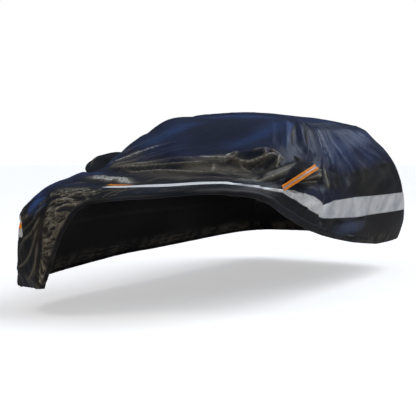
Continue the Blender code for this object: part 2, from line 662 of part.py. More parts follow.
def cloth_surface():
    """All points of the cloth, and the faces of each piece by name."""
    places = station_places()
    wall = wall_grid(places)
    rows, columns = wall.shape[:2]
    numbers = np.arange(rows * (columns - 1)).reshape(rows, columns - 1)
    numbers = np.concatenate([numbers, numbers[:, :1]], axis=1)
    points = wall[:, :-1].reshape(-1, 3)
    pieces, kept = wall_faces(numbers, places)
    middles = (places[:-1] + places[1:]) / 2
    for values in POCKETS:
        pocket = dict(zip(POCKET_COLUMNS, values))
        beside = (middles > pocket["first_around"]) & (middles < pocket["last_around"])
        first, last = np.flatnonzero(beside)[[0, -1]]
        above = numbers[SKIRT_ROWS + BAND_ROWS:]
        block = above[pocket["first_row"]:pocket["last_row"] + 1, first:last + 2]
        points = add_pouch(points, pieces, block, pocket)
    top, top_places = numbers[-1, kept], places[kept]
    left_seam, tail, right_seam = (np.abs(top_places - place).argmin() for place in (2.0, 3.0, -2.0))
    left_edge, tail_edge, right_edge = top[left_seam:tail + 1], top[tail:], top[right_seam::-1]
    roof = roof_rows(points[left_edge], points[right_edge], points[tail_edge])
    grid = np.zeros((len(left_edge), len(tail_edge)), int)
    grid[:, 0], grid[:, -1], grid[-1] = left_edge, right_edge, tail_edge
    for index, row in enumerate(roof[:-1]):
        grid[index, 1:-1] = np.arange(len(points), len(points) + len(row) - 2)
        points = np.concatenate([points, row[1:-1]])
    pieces["roof_panel"] += grid_faces(grid[::-1])
    front_edge = top[right_seam:left_seam + 1][::-1]
    pieces["roof_panel"] += zip_faces(points, front_edge.tolist(), grid[0].tolist())
    return points, pieces


def main():
    for old in list(bpy.data.objects):
        bpy.data.objects.remove(old)
    for name in (COLLECTION, GUIDES):
        bpy.context.scene.collection.children.link(bpy.data.collections.new(name))
    bpy.data.collections[GUIDES].hide_render = True
    frame = bpy.data.objects.new("carry_frame", None)
    bpy.data.collections[GUIDES].objects.link(frame)
    frame.location = [-value for value in CARRY_POINT]

    points, pieces = cloth_surface()
    every_face = [face for faces in pieces.values() for face in faces]
    normals = point_normals(points, split_in_triangles(points, every_face))
    for name, faces in pieces.items():
        closed_sheet(name, points, normals, faces, -CLOTH, 0.0, PIECE_COLOURS[name])
    for values in TAPES:
        tape = dict(zip(TAPE_COLUMNS, values))
        tape_run(tape, points, normals, pieces[tape["carrier"]])


main()
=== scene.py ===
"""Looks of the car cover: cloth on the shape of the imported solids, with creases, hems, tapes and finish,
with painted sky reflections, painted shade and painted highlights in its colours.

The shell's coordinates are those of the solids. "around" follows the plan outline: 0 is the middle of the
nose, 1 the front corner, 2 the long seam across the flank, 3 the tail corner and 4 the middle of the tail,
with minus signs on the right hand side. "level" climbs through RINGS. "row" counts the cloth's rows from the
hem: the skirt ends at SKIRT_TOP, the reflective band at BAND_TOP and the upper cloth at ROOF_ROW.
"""

import math

import bmesh
import bpy
import numpy as np
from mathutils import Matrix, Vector
from mathutils.bvhtree import BVHTree
from mathutils.kdtree import KDTree


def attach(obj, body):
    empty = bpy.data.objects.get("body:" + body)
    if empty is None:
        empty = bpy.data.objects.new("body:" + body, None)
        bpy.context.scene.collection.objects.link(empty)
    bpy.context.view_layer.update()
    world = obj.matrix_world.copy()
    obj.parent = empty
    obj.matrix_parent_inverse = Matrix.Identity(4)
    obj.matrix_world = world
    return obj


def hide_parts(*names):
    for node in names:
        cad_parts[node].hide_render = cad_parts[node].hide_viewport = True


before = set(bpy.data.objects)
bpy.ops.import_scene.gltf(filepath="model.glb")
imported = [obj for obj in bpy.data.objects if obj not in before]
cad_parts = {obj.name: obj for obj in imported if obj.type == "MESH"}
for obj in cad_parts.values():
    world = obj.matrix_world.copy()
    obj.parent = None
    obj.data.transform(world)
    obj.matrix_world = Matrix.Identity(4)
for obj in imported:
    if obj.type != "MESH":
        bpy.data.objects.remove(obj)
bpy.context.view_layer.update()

ROOT = "root"
CARRY_POINT = np.array((0.0, 1.95, 1.4820))


def placed(name, data, place=(0.0, 0.0, 0.0)):
    """A new object in the scene."""
    thing = bpy.data.objects.new(name, data)
    bpy.context.scene.collection.objects.link(thing)
    thing.location = place
    return thing


# ---- camera

CAMERA_PLACE = (4.1068, -8.0736, -0.2323)
CAMERA_YAW, CAMERA_PITCH = 0.536422, 0.068982
CAMERA_LENS, CAMERA_SENSOR = 85.115, 36.0
CAMERA_NEAR, CAMERA_FAR = 0.1, 400.0


def add_camera():
    camera = placed("camera", bpy.data.cameras.new("camera"), CAMERA_PLACE)
    camera.rotation_euler = (math.pi / 2 - CAMERA_PITCH, 0.0, CAMERA_YAW)
    camera.data.lens, camera.data.sensor_width = CAMERA_LENS, CAMERA_SENSOR
    camera.data.clip_start, camera.data.clip_end = CAMERA_NEAR, CAMERA_FAR
    bpy.context.scene.camera = camera


# ---- shell

# The bare shell's rings, lowest first: half width, ends at nose and tail, how square the plan is at both,
# place of the long seam, and heights at the nose, front corner, long seam, tail corner and tail.
RINGS = (
    (0.885, -0.835, 3.3, 5.6, 6.5, 1.05, 0.215, 0.2, 0.27, 0.3, 0.3),
    (0.905, -0.855, 3.35, 5, 7, 1.05, 0.4, 0.4, 0.45, 0.45, 0.45),
    (0.908, -0.855, 3.365, 4.8, 6.6, 1.07, 0.62, 0.62, 0.66, 0.66, 0.66),
    (0.9, -0.815, 3.335, 4.4, 6.2, 1.16, 0.76, 0.77, 0.82, 0.86, 0.86),
    (0.88, -0.7, 3.265, 4.2, 5.6, 1.24, 0.865, 0.875, 0.91, 1, 1),
    (0.86, -0.33, 3.18, 4.4, 5, 1.26, 0.93, 0.95, 0.98, 1.09, 1.09),
    (0.835, 0.24, 3.07, 4.8, 4.4, 1.27, 1.01, 1.045, 1.05, 1.17, 1.18),
    (0.79, 0.62, 2.91, 5.6, 3.9, 1.3, 1.2, 1.225, 1.17, 1.26, 1.29),
    (0.705, 0.98, 2.83, 5.8, 4, 1.36, 1.38, 1.365, 1.305, 1.33, 1.385),
    (0.595, 1.3, 2.76, 6, 4.6, 1.44, 1.465, 1.43, 1.395, 1.375, 1.45),
)
ROOF_LEVEL = len(RINGS) - 1
RING_STEPS = 720
ROOF_CROWN = ((0.00, 1.476), (0.45, 1.497), (1.00, 1.488))
CROWN_POWER = 0.8

# Levels of the wall's edges: place around, hem, lower and upper edge of the band.
EDGES = (
    (-3, 0, 1.6, 2.4),
    (-2.3, 0, 1.68, 2.58),
    (-0.72, 0, 1.68, 2.52),
    (-0.52, 0, 4.22, 4.66),
    (-0.44, 0.02, 4.33, 4.72),
    (-0.38, 0.55, 4.4, 4.76),
    (-0.31, 1.18, 4.42, 4.78),
    (-0.24, 1.84, 4.43, 4.8),
    (-0.18, 2.4, 4.42, 4.81),
    (-0.12, 3.15, 4.38, 4.82),
    (-0.04, 3.62, 4.38, 4.87),
    (0.1, 3.78, 4.44, 4.94),
    (0.31, 3.98, 4.53, 5.01),
    (0.61, 4.08, 4.7, 5.05),
    (0.9, 4.13, 4.86, 5.08),
    (1.04, 4.12, 4.76, 4.95),
    (1.17, 3.92, 4.47, 4.67),
    (1.3, 3.55, 4.18, 4.37),
    (1.42, 3.02, 3.88, 4.1),
    (1.5, 2.64, 3.66, 3.93),
    (1.6, 2.24, 3.14, 3.68),
    (1.72, 1.84, 2.64, 3.22),
    (1.84, 1.52, 2.24, 2.92),
    (1.95, 1.31, 1.95, 2.56),
    (2, 1.22, 1.84, 2.42),
    (2.07, 1.09, 1.79, 2.6),
    (2.3, 0.64, 1.69, 2.61),
    (2.6, 0.16, 1.66, 2.5),
    (3, 0, 1.6, 2.4),
    (5, 0, 1.6, 2.4),
)
SKIRT_TOP, BAND_TOP, ROOF_ROW = 3.0, 5.0, 23.0
BAND_START = -0.12
GATHER_SEAM = -0.52
CORNER_SEAM = -1.0 + 4 * 0.48 / 7

# The main folds, as the solids have them: place and level where each starts and ends, height and half width
# in millimetres, and for a bowed one how many levels its middle rises. A negative height is a hollow.
FOLDS = (
    (-0.89, 5.8, -0.92, 7.6, 22, 60),
    (-0.88, 5.8, -0.48, 7.2, 24, 55),
    (-0.84, 5.8, -0.04, 6.9, 20, 55),
    (-0.8, 5.75, 0.15, 6.62, 18, 50),
    (-0.88, 5.61, 0.56, 6.28, 26, 50, 0.13),
    (-0.43, 5.7, 0.87, 5.5, 22, 50, 0.25),
    (-0.2, 5.45, 0.6, 5.3, -14, 60, 0.05),
    (0.49, 6.4, 1.04, 6.49, 32, 40, -0.19),
    (0.5, 6.56, 0.93, 6.68, 20, 35),
    (0.65, 6.14, 1.1, 5.9, -22, 50),
    (1.03, 6.42, 1.11, 5.95, 20, 35),
    (0.81, 8.76, 1.1, 6.7, 22, 45),
    (0.91, 8.81, 1.31, 6.6, -18, 45),
    (1.12, 8.7, 1.45, 6.6, 24, 45),
    (1.55, 8.75, 1.62, 6.8, -16, 40),
    (1.9, 8.8, 1.8, 4.6, 22, 45),
    (2.1, 8.7, 2.05, 5, 26, 55),
    (2.17, 8.7, 2.2, 3.1, -20, 60),
    (2.24, 8.7, 2.4, 3.2, 26, 60),
    (2.33, 8.7, 2.7, 4.5, 20, 55),
    (2.42, 8.5, 2.73, 2.9, -18, 60),
    (2.6, 8.6, 2.92, 4.2, 14, 60),
    (1.12, 5.12, 1.44, 5.9, 34, 55),
    (1.16, 4.9, 1.42, 4.6, -20, 45),
    (1.7, 5.6, 1.96, 3.2, -20, 50),
    (-0.54, 3.6, -0.82, 2.3, 26, 55),
    (-0.54, 2.8, -0.8, 1.3, -20, 50),
    (-0.54, 2, -0.76, 0.3, 22, 50),
    (-0.7, 4.4, -0.72, 5.5, 22, 70),
    (-0.26, 5.1, -0.1, 5.4, 20, 45),
    (2.02, 2.9, 1.95, 1.5, -26, 45),
    (1.68, 3.2, 1.8, 2.5, 20, 45),
    (2.1, 1.5, 2.45, 1.6, 20, 45),
    (2.05, 1.6, 2.3, 0.9, -18, 45),
    (-2.15, 8.7, -2.05, 4.6, 22, 60),
    (-2.3, 8.7, -2.48, 3.1, -18, 70),
    (-2.45, 8.6, -2.8, 3.6, 22, 70),
    (-1.85, 8.8, -1.7, 6.7, 20, 60),
    (-1.2, 8.6, -1.3, 6.6, -16, 60),
    (-1.35, 4.8, -1.1, 3, 18, 70),
    (-1.75, 5, -1.95, 3.1, -18, 70),
    (3.15, 8.6, 3.4, 3.6, 22, 70),
    (3.7, 8.5, 3.85, 4.4, -16, 80),
    (4.3, 8.5, 4.05, 3.4, 18, 80),
    (4.85, 8.6, 4.6, 3.8, -20, 70),
)
FOLD_SAMPLES = 13
FOLD_FADE, CREASE_FADE, STROKE_FADE = 0.22, 0.18, 0.30

# Slow waves: height, turns in each metre along x, y and z, and phase.
WAVES = (
    (0.0040, 1.10, 0.55, 0.90, 0.4),
    (0.0030, -0.70, 1.30, 0.60, 2.1),
    (0.0025, 1.90, 0.90, -1.40, 4.0),
)
# Swells: place around, level, height and spread.
SWELLS = (
    (1.56, 5.25, 0.035, 0.17),
    (-1.56, 5.25, 0.035, 0.17),
    (-0.95, 8.30, 0.050, 0.26),
)
# Where the cloth's columns lean: places around at which it starts, is full, is still full and ends, the
# first and the fullest row above the band, and the shift.
LEANS = (
    ((0.30, 1.49, 1.76, 2.00), 1, 9, -0.26),
    ((-2.00, -1.70, -1.49, -0.30), 4, 10, 0.37),
)

# Sharp creases drawn in the cloth, with a narrow crest: height and half width in millimetres, then the
# places of the path, each around and level.
CREASES = (
    # fanned over the sloping front from the right mirror pocket
    (7, 20, -0.91, 6.13, -0.83, 6.68, -0.66, 7.43, -0.49, 8.1),
    (10, 20, -0.89, 5.67, -0.87, 6.35, -0.68, 7.12, -0.53, 7.65),
    (10, 18, -0.89, 5.73, -0.71, 6.3, -0.5, 6.84, -0.23, 7.2),
    (9, 18, -0.84, 5.74, -0.64, 6.24, -0.42, 6.7, -0.1, 7.05),
    (9, 18, -0.79, 5.78, -0.59, 6.21, -0.34, 6.61, 0.05, 6.95),
    (8, 18, -0.71, 5.79, -0.49, 6.13, -0.21, 6.4, 0.21, 6.61),
    # long ridges over the low front
    (12, 16, -0.75, 5.74, -0.52, 5.9, -0.27, 6.04, 0.04, 6.19, 0.26, 6.23, 0.4, 6.24),
    (12, 16, -0.56, 5.81, -0.3, 5.83, -0.03, 5.88, 0.35, 5.78, 0.6, 5.67, 0.87, 5.52),
    (8, 22, 0.08, 6.63, 0.35, 6.53, 0.55, 6.45),
    (7, 20, 0.07, 6.37, 0.26, 6.41, 0.56, 6.37),
    (9, 16, 0.4, 6.24, 0.55, 6.3, 0.67, 6.23, 0.8, 5.95, 0.94, 5.73),
    (6, 16, 0.42, 6.22, 0.47, 6, 0.52, 5.83),
    (7, 18, 0.2, 5.9, 0.76, 5.73, 0.94, 5.73),
    (8, 22, 0.1, 5.56, 0.73, 5.39, 1.12, 5.1),
    (6, 22, -0.06, 5.36, 0.06, 5.59, 0.36, 5.63),
    # crumple between the slope and the left mirror pocket
    (12, 14, 0.46, 6.52, 0.51, 6.62, 0.58, 6.72),
    (10, 13, 0.47, 6.53, 0.56, 6.48, 0.6, 6.66),
    (20, 15, 0.55, 6.31, 0.69, 6.21, 0.81, 6.19, 0.89, 6.28, 0.95, 6.41, 1.03, 6.5),
    (-12, 18, 0.66, 6.34, 0.8, 6.31, 0.93, 6.45),
    (14, 14, 0.72, 6.6, 0.82, 6.69, 0.9, 6.68, 0.98, 6.58),
    (10, 12, 0.83, 6.67, 0.88, 6.55, 0.87, 6.4),
    (14, 14, 0.9, 6.68, 1, 6.52, 1.1, 6.3),
    (10, 12, 1, 6.5, 1.07, 6.34, 1.13, 6.24),
    (12, 14, 1.02, 6.48, 1.06, 6.19, 1.12, 5.86),
    (9, 12, 0.86, 6.42, 0.95, 6.49, 1, 6.57),
    (-12, 22, 1.04, 5.42, 1.17, 5.14, 1.29, 5.15),
    # drawn towards the left mirror pocket
    (10, 13, 1.08, 5.4, 1.19, 5.6, 1.26, 5.82, 1.38, 6.26, 1.44, 6.36),
    (10, 13, 0.84, 5.15, 1, 5.22, 1.14, 5.15, 1.25, 5.2, 1.33, 5.43, 1.4, 5.85),
    (8, 14, 1.12, 5.28, 1.24, 5.5, 1.34, 5.9),
    # below the front left corner of the roof
    (6, 18, 0.67, 8.4, 0.8, 7.6, 0.9, 6.86),
    (5, 16, 0.76, 8.63, 0.9, 7.55, 1.01, 6.79),
    (6, 14, 0.83, 8.7, 0.97, 7.4, 1.13, 6.52),
    (6, 14, 0.9, 8.75, 1.12, 7.42, 1.31, 6.54),
    (6, 14, 0.98, 8.8, 1.28, 7.49, 1.46, 6.71),
    (7, 16, 1.25, 8.8, 1.48, 7.51, 1.6, 6.7),
    (10, 18, 1.6, 8.8, 1.64, 7.51, 1.76, 6.45),
    (12, 20, 1.84, 8.8, 1.86, 7.17, 1.93, 5.6, 1.96, 4.2, 1.99, 3.1),
    # fanned over the left rear quarter from the roof seam
    (12, 22, 2.05, 8.86, 2.03, 7.55, 2.04, 6.61, 2.05, 5.2),
    (9, 18, 2.08, 8.8, 2.07, 7.36, 2.1, 5.29),
    (11, 22, 2.11, 8.8, 2.12, 7.06, 2.2, 4.13),
    (9, 18, 2.15, 8.75, 2.21, 6.99, 2.32, 4.09),
    (10, 22, 2.21, 8.75, 2.31, 6.89, 2.49, 4.17),
    (8, 20, 2.29, 8.75, 2.42, 6.91, 2.65, 4.47),
    (8, 22, 2.36, 8.75, 2.5, 6.84, 2.75, 4.89),
    (6, 22, 2.5, 8.6, 2.64, 7, 2.86, 5.2),
    (8, 16, 1.69, 3.85, 1.78, 3.67, 1.9, 3.21),
    # over the right front shoulder and round the front right corner
    (8, 20, -0.61, 5.29, -0.5, 5.38, -0.3, 5.23, -0.16, 5.05),
    (10, 16, -0.46, 5.46, -0.26, 5.25, -0.09, 5.03),
    (10, 16, -0.42, 5.55, -0.21, 5.28, 0.01, 5.02),
    (7, 16, -0.41, 5.12, -0.26, 5.12, -0.15, 5.08),
    (8, 24, -0.65, 4.25, -0.69, 4.91, -0.76, 5.47),
    (8, 22, -0.52, 4.3, -0.48, 4.6, -0.45, 4.95),
    (6, 12, -0.46, 3.8, -0.54, 3.1, -0.66, 2.55, -0.78, 2.2),
    (5, 10, -0.46, 3.3, -0.54, 2.55, -0.66, 2.05, -0.78, 1.8),
    (6, 12, -0.45, 2.8, -0.52, 2, -0.64, 1.5, -0.76, 1.25),
    (5, 10, -0.45, 2.3, -0.51, 1.5, -0.6, 0.95, -0.72, 0.65),
    (6, 12, -0.45, 1.8, -0.49, 1, -0.55, 0.5, -0.62, 0.2),
    (4, 10, -0.47, 1.3, -0.5, 0.8, -0.53, 0.3),
    (4, 12, -0.62, 3.6, -0.68, 2.9, -0.76, 2.4),
    # hanging on the far side and the tail
    (8, 24, -2.06, 8.7, -2.02, 6.8, -1.98, 4.6),
    (8, 24, -2.2, 8.7, -2.3, 6.6, -2.42, 4.1),
    (7, 24, -2.38, 8.6, -2.6, 6.6, -2.78, 4.6),
    (8, 24, -1.6, 8.7, -1.62, 7.4, -1.74, 6.6),
    (7, 26, -1.2, 5.6, -1.4, 4.4, -1.5, 3.1),
    (7, 26, 3.3, 8.5, 3.45, 6.4, 3.55, 4.2),
    (7, 26, 3.95, 8.5, 3.9, 6.4, 3.95, 4.4),
    (7, 26, 4.55, 8.5, 4.45, 6.4, 4.3, 4.2),
)
CURVE_STEPS = 24


def smooth(value):
    """Eases from 0 to 1."""
    value = np.clip(value, 0.0, 1.0)
    return value * value * (3.0 - 2.0 * value)


def between(value, low, high, ease):
    """1 between two values and 0 outside, easing over a width."""
    return smooth((value - low) / ease) * smooth((high - value) / ease)


def unit(vectors):
    length = np.linalg.norm(vectors, axis=-1, keepdims=True)
    return vectors / np.where(length > 0, length, 1.0)


def ring_points(ring, around):
    """Points of one ring, at places around it."""
    half_width, nose, tail, nose_power, tail_power, seam, *heights = ring
    heights = np.array(heights)
    angle = np.linspace(-math.pi / 2, math.pi / 2, RING_STEPS + 1)
    power = 2 / np.where(angle < 0.0, nose_power, tail_power)
    across = half_width * np.abs(np.cos(angle)) ** power
    along = (nose + tail) / 2 + (tail - nose) / 2 * np.sign(angle) * np.abs(np.sin(angle)) ** power
    run = np.concatenate([[0.0], np.cumsum(np.hypot(np.diff(across), np.diff(along)))])
    front, rear = np.interp((-math.pi / 4, math.pi / 4), angle, run)
    turned = np.where(around > 4.0, around - 8.0, around)
    share, side = np.abs(turned), np.where(turned < 0.0, -1.0, 1.0)
    travelled = np.interp(share, range(5), (0.0, front, np.interp(seam, along, run), rear, run[-1]))
    before = np.minimum(share.astype(int), 3)
    ease = smooth(share - before)
    height = heights[before] * (1 - ease) + heights[before + 1] * ease
    return np.stack([side * np.interp(travelled, run, across), np.interp(travelled, run, along), height], -1)


def shell_points(around, level):
    """Points of the bare shell, on smooth curves through the rings. Both are flat arrays of one length."""
    rings = np.stack([ring_points(ring, around) for ring in RINGS])
    spans = np.linalg.norm(np.diff(rings, axis=0), axis=-1, keepdims=True)
    slopes = np.diff(rings, axis=0) / spans
    before, after = spans[:-1], spans[1:]
    inner = (slopes[:-1] * after + slopes[1:] * before) / (before + after)
    tangents = np.concatenate([slopes[:1], inner, slopes[-1:]])
    low = np.clip(np.floor(level).astype(int), 0, ROOF_LEVEL - 1)
    column = np.arange(len(around))
    span = spans[low, column]
    t = (level - low)[:, None]
    start, end = rings[low, column], rings[low + 1, column]
    leave, arrive = tangents[low, column] * span, tangents[low + 1, column] * span
    return ((2 * t**3 - 3 * t**2 + 1) * start + (t**3 - 2 * t**2 + t) * leave
            + (3 * t**2 - 2 * t**3) * end + (t**3 - t**2) * arrive)


# ---- folds and creases


def path_distance(points, path):
    """Distance of each point from a path, and how far along the path the nearest place is, from 0 to 1."""
    nearest = np.full(len(points), np.inf)
    along = np.zeros(len(points))
    pieces = len(path) - 1
    for index in range(pieces):
        start, leg = path[index], path[index + 1] - path[index]
        share = np.clip((points - start) @ leg / max(leg @ leg, 1e-12), 0.0, 1.0)
        distance = np.linalg.norm(points - start - share[:, None] * leg, axis=1)
        closer = distance < nearest
        nearest = np.where(closer, distance, nearest)
        along = np.where(closer, (index + share) / pieces, along)
    return nearest, along


def near_path(points, path, reach):
    """Numbers of the points in the box around the path."""
    low, high = path.min(axis=0) - reach, path.max(axis=0) + reach
    return np.flatnonzero(((points > low) & (points < high)).all(axis=1))


def line_distance(points, line, reach):
    """Distance of each point from a line of points, or reach where it is farther."""
    flat = points.reshape(-1, 3)
    nearest = np.full(len(flat), reach)
    for leg in zip(line, line[1:]):
        near = near_path(flat, np.array(leg), reach)
        nearest[near] = np.minimum(nearest[near], path_distance(flat[near], leg)[0])
    return nearest.reshape(points.shape[:-1])


def beside_path(points, path, millimetres, reach, fade, power):
    """Numbers of the points near a path, and how strongly each lies on it."""
    half_width = millimetres / 1000
    near = near_path(points, path, reach * half_width)
    distance, along = path_distance(points[near], path)
    ends = smooth(along / fade) * smooth((1 - along) / fade)
    return near, ends * np.exp(-np.abs(distance / half_width) ** power)


def curve_path(numbers):
    """A smooth path over the bare shell through places, given as around, level, around, level and so on."""
    places = np.reshape(numbers, (-1, 2))
    run = np.linspace(0.0, len(places) - 1.0, CURVE_STEPS)
    ends = np.concatenate([2 * places[:1] - places[1:2], places, 2 * places[-1:] - places[-2:-1]])
    low = np.minimum(run.astype(int), len(places) - 2)
    t = (run - low)[:, None]
    a, b, c, d = (ends[low + k] for k in range(4))
    curve = 0.5 * (2 * b + (c - a) * t + (2 * a - 5 * b + 4 * c - d) * t**2 + (3 * b - a - 3 * c + d) * t**3)
    return shell_points(*curve.T)


def fold_relief(points):
    """Height of the main folds, the slow waves and the swells, at points of the bare shell."""
    relief = np.zeros(len(points))
    share = np.linspace(0.0, 1.0, FOLD_SAMPLES)
    for around, level, last_around, last_level, height, half_width, *bow in FOLDS:
        path = shell_points(around + (last_around - around) * share,
                            level + (last_level - level) * share + sum(bow) * np.sin(math.pi * share))
        near, shape = beside_path(points, path, half_width, 3.2, FOLD_FADE, 2)
        relief[near] += height / 1000 * shape
    for height, *turns, phase in WAVES:
        relief += height * np.sin(2 * math.pi * (points @ np.array(turns)) + phase)
    for around, level, height, spread in SWELLS:
        distance = np.linalg.norm(points - shell_points(np.array([around]), np.array([level])), axis=1)
        relief += height * np.exp(-((distance / spread) ** 2))
    return relief


def crease_relief(points):
    """Height of the sharp creases at points of the bare shell, and how strongly each lies on a crest."""
    relief, crest = np.zeros(len(points)), np.zeros(len(points))
    for height, half_width, *places in CREASES:
        near, shape = beside_path(points, curve_path(places), half_width, 4.0, CREASE_FADE, 1.3)
        relief[near] += height / 1000 * shape
        if height > 0:
            crest[near] = np.maximum(crest[near], min(1.5, height / 8) * shape**1.5)
    return relief, crest


# ---- noise

LATTICE = 256


def lattice_noise(u, v, seed):
    """Smooth noise from -1 to 1 on a unit lattice."""
    values = np.random.default_rng(seed).uniform(-1.0, 1.0, (LATTICE, LATTICE))
    i, j = np.floor(u).astype(int), np.floor(v).astype(int)
    a, b = smooth(u - i), smooth(v - j)
    i0, j0, i1, j1 = i % LATTICE, j % LATTICE, (i + 1) % LATTICE, (j + 1) % LATTICE
    low = values[i0, j0] * (1 - a) + values[i1, j0] * a
    high = values[i0, j1] * (1 - a) + values[i1, j1] * a
    return low * (1 - b) + high * b


def ridges(u, v, seed, sharp=1.6):
    """Sharp crests along the lines where warped noise is 0, from 0 to 1."""
    bent_u = u + 0.45 * lattice_noise(u * 0.7 + 5.1, v * 0.7 + 1.3, seed + 1)
    bent_v = v + 0.45 * lattice_noise(u * 0.7 + 9.7, v * 0.7 + 4.9, seed + 2)
    value = lattice_noise(bent_u, bent_v, seed) + 0.35 * lattice_noise(2.1 * bent_u, 2.1 * bent_v, seed + 3)
    return np.clip(1.0 - 1.7 * np.abs(value), 0.0, 1.0) ** sharp


# ---- cloth grids

# Stretches of the wall around, and of its rows: first, last and number of steps.
COLUMN_STEPS = (
    (-3.00, -2.00, 44),
    (-2.00, -1.00, 48),
    (-1.00, CORNER_SEAM, 32),
    (CORNER_SEAM, GATHER_SEAM, 32),
    (GATHER_SEAM, BAND_START, 66),
    (BAND_START, 1.00, 104),
    (1.00, 2.00, 192),
    (2.00, 3.00, 120),
    (3.00, 5.00, 64),
)
ROW_STEPS = ((0.0, SKIRT_TOP, 116), (SKIRT_TOP, BAND_TOP, 12), (BAND_TOP, ROOF_ROW, 198))


def steps_between(marks):
    """Places that cut each stretch between two marks into its number of steps."""
    places = [marks[0][0]]
    for first, last, count in marks:
        places.extend(first + (last - first) * (step + 1) / count for step in range(count))
    return np.array(places)


def leant(around, row):
    """Places around at which a row of the cloth has its columns."""
    moved = around.copy()
    for places, first_row, full_row, shift in LEANS:
        share = np.interp(row - BAND_TOP, (first_row, full_row, ROOF_ROW - BAND_TOP), (0, 1, 0))
        moved += shift * share * np.interp(around, places, (0, 1, 1, 0))
    return moved


def level_at(around, row):
    """Level of the cloth's rows at places around."""
    places, *edges = zip(*EDGES)
    hem, low, high = (np.interp(around, places, edge) for edge in edges)
    skirt = np.minimum(row / SKIRT_TOP, 1.0)
    band = np.clip((row - SKIRT_TOP) / (BAND_TOP - SKIRT_TOP), 0.0, 1.0)
    upper = np.clip((row - BAND_TOP) / (ROOF_ROW - BAND_TOP), 0.0, 1.0)
    return hem + (low - hem) * skirt + (high - low) * band + (ROOF_LEVEL - high) * upper


def grid_normals(grid):
    """Outward directions on a grid of rows whose last column meets its first."""
    ring = np.concatenate([grid[:, -2:-1], grid, grid[:, 1:2]], axis=1)
    return unit(np.cross(ring[:, 2:] - ring[:, :-2], np.gradient(grid, axis=0)))


def travelled(points, axis):
    """Distance from the first point along an axis of a line or grid."""
    steps = np.linalg.norm(np.diff(points, axis=axis), axis=-1)
    return np.concatenate([np.zeros_like(steps.take([0], axis)), np.cumsum(steps, axis=axis)], axis)


# ---- marks

# Patches where the cloth is painted darker, as a painted reflection of the dark ground, or bluer, as a
# painted sky
# reflection: place around and level of the middle, reach around and in levels, and how far it moves the
# painted reflection level. Level 0 is black, 1 the navy cloth's own colour and 2 a light blue painted sky
# reflection.
PAINTED_REFLECTIONS = (
    (0.35, 5.55, 0.8, 0.75, -1),
    (0.8, 6.2, 0.45, 0.5, -0.9),
    (1.45, 5, 0.5, 1.3, -1),
    (0.05, 6.35, 0.5, 0.25, -0.45),
    (-0.55, 5.95, 0.3, 0.25, -0.6),
    (-0.58, 1.5, 0.3, 1.45, -1.2),
    (-0.25, 4.95, 0.42, 0.4, -0.7),
    (1.15, 8.3, 0.2, 0.6, 0.35),
    (2.2, 6.3, 0.18, 1.3, 0.2),
    (2.32, 1.3, 0.2, 0.25, 1.1),
    (2.55, 7.6, 0.4, 0.8, 0.25),
    (2.6, 3.6, 0.62, 1.25, -0.85),
    (-0.8, 6.2, 0.22, 0.55, -0.6),
    (1.75, 8, 0.1, 0.6, -0.35),
    (2.02, 4.6, 0.1, 1.2, -0.6),
)
# Patches of slack cloth, in the same columns. Slack cloth gets deeper crinkle bumps and painted crinkle
# highlights.
SLACKS = (
    (0.3, 5.8, 0.9, 0.95, 1),
    (0.85, 6.4, 0.4, 0.55, 0.7),
    (1.45, 5, 0.5, 1.4, 0.25),
    (-0.45, 2.5, 0.35, 2.6, 0.3),
    (-0.6, 5.4, 0.35, 0.6, 0.3),
    (1.6, 3.2, 0.5, 1.2, 0.5),
)
# Strokes that add to a mark along a path, as painted sky reflections, painted shade streaks and painted crest
# highlights: mark, change, half width in millimetres, then the path's places.
STROKES = (
    ("tone", 1.2, 60, -0.66, 3.95, -0.78, 4.6, -0.82, 5, -0.78, 5.25, -0.7, 5.52, -0.52, 5.72),
    ("tone", 1.5, 50, -0.84, 2.85, -0.76, 3.25, -0.68, 3.6, -0.58, 3.62),
    ("tone", 2, 24, -0.53, 3.9, -0.543, 3.62, -0.556, 3.3, -0.586, 3, -0.623, 2.78, -0.66, 2.6),
    ("tone", 1.6, 20, -0.46, 3.45, -0.472, 3.27, -0.492, 3.04, -0.539, 2.72, -0.57, 2.55),
    ("tone", 0.8, 80, -0.8, 8.8, -0.4, 8.86, 0, 8.9, 0.5, 8.88, 0.95, 8.75),
    ("crest", 2, 60, -0.7, 5.36, -0.48, 5.26, -0.3, 5.28, -0.16, 5.3),
    ("crest", 2, 55, -0.42, 5.38, -0.24, 5.28, -0.1, 5.16, 0.08, 5.02),
    ("crest", 0.9, 50, -0.15, 6.5, 0.2, 6.56, 0.45, 6.54, 0.7, 6.48),
    ("crest", 0.95, 80, 0, 6.08, 0.3, 6.04, 0.6, 5.96, 0.95, 5.84),
    ("crest", 0.6, 60, -0.85, 5.65, -0.62, 5.95, -0.4, 6.15, -0.15, 6.35),
    ("crest", 0.6, 60, -0.88, 5.75, -0.75, 6.25, -0.55, 6.7, -0.35, 7.05),
    ("crest", 0.55, 80, -0.5, 5.82, -0.1, 5.8, 0.25, 5.66, 0.6, 5.52),
    ("crest", 0.6, 50, 0.8, 5.62, 1, 5.48, 1.15, 5.2),
    ("tone", 0.5, 90, 0.2, 6.9, 0.5, 7.1, 0.72, 7.55, 0.82, 8.2, 0.88, 8.7),
    ("tone", 0.5, 80, -0.75, 6.6, -0.6, 7.3, -0.4, 8, -0.1, 8.6),
    ("tone", -0.9, 20, 1, 8.6, 1.08, 7.6, 1.2, 6.7),
    ("tone", -0.9, 25, 1.26, 8.5, 1.4, 7.7, 1.52, 6.9),
    ("tone", 0.5, 25, 0.93, 8.6, 0.98, 7.6, 1.06, 6.7),
    ("tone", -0.8, 60, 1.95, 5.2, 1.98, 4.2, 2.02, 3.2),
)


def patches(table, around, level, start):
    """The start value, changed by each patch of a table."""
    total = np.full(around.shape, start)
    for middle, height, wide, tall, change in table:
        total += change * np.exp(-(((around - middle) / wide) ** 4) - ((level - height) / tall) ** 4)
    return total


